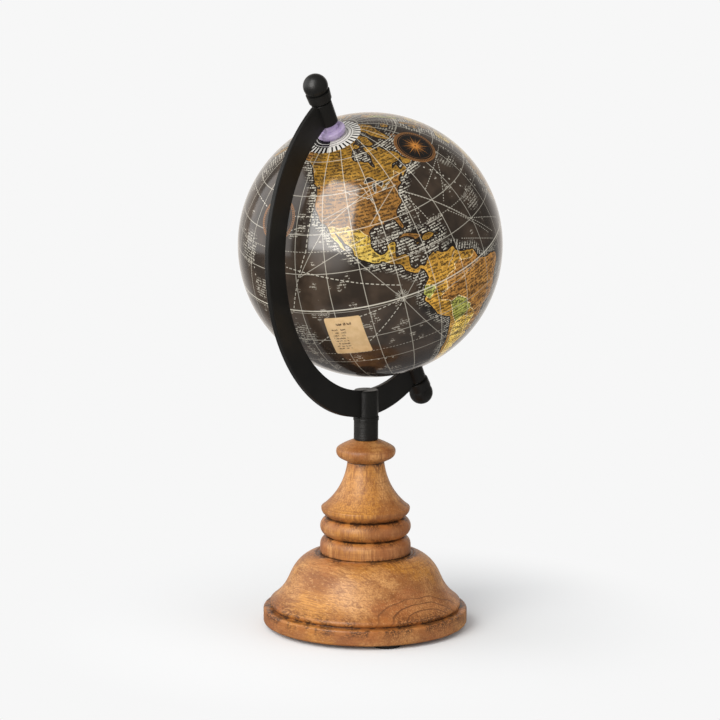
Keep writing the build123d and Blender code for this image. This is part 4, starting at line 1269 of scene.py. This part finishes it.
def make_world():
    """White to the eye; the gloss shows white behind the object, dim before it and a glow by the window."""
    world = bpy.data.worlds.new("studio")
    world.use_nodes = True
    bpy.context.scene.world = world
    tree = world.node_tree
    direction = new_node(tree, "TexCoord", {}, "Generated")
    mirrored = ray(tree, "Is Glossy Ray")
    backdrop = slide(along(direction, -view_back), backdrop_start, 1.0)
    glow = slide(along(direction, camera_axes @ Vector(glow_direction)), glow_start, 1.0) * glow_level
    in_mirror = backdrop * (background_level - dim_level) + glow + dim_level
    level = mirrored * (in_mirror - world_level) + world_level
    seen = seen_directly(tree)
    level = seen * (background_level - level) + level
    tint = blend(mirrored * (1.0 - seen), grey(1.0), mirror_tint)
    feed(tree.nodes["Background"], {"Color": tint, "Strength": level})


def make_lamp(name, bearing, middle_height, size, radiance, tint=(1.0, 1.0, 1.0), in_gloss=True):
    """An upright soft lamp that faces the ball."""
    lamp = bpy.data.lights.new(name, "AREA")
    lamp.shape = "RECTANGLE"
    lamp.size = size[0] / METRE
    lamp.size_y = size[1] / METRE
    lamp.energy = radiance * math.pi * lamp.size * lamp.size_y
    lamp.color = tint
    away = Matrix.Rotation(-math.radians(bearing), 3, "Z") @ view_back
    spot = ball_centre * METRE + away * lamp_distance
    holder = add_object(name, lamp)
    holder.location = Vector((spot.x, spot.y, middle_height)) / METRE
    holder.rotation_euler = (-away).to_track_quat("-Z", "Y").to_euler()
    holder.visible_glossy = in_gloss


azimuth = math.radians(camera_azimuth)
pitch = math.radians(camera_pitch)
view_back = Vector((math.sin(azimuth), -math.cos(azimuth), 0))
view_right = Vector((math.cos(azimuth), math.sin(azimuth), 0))
view_forward = -view_back * math.cos(pitch) + Vector((0, 0, -math.sin(pitch)))
view_up = view_right.cross(view_forward)

camera = bpy.data.cameras.new("camera")
camera.sensor_width = SENSOR_WIDTH
camera.lens = camera_focal_pixels / PHOTO_PIXELS * SENSOR_WIDTH
camera_holder = add_object("camera", camera)
camera_spot = view_back * camera_distance - view_right * axis_right_of_view + Vector((0, 0, camera_height))
camera_axes = Matrix((view_right, view_up, -view_forward)).transposed()
camera_holder.matrix_world = (
    Matrix.Translation(camera_spot / METRE)
    @ camera_axes.to_4x4()
    @ Matrix.Rotation(math.radians(camera_roll), 4, "Z")
)
bpy.context.scene.camera = camera_holder

make_floor()
make_world()
for lamp_name, settings in lamps.items():
    make_lamp(lamp_name, **settings)

bpy.context.scene.view_settings.view_transform = "Standard"
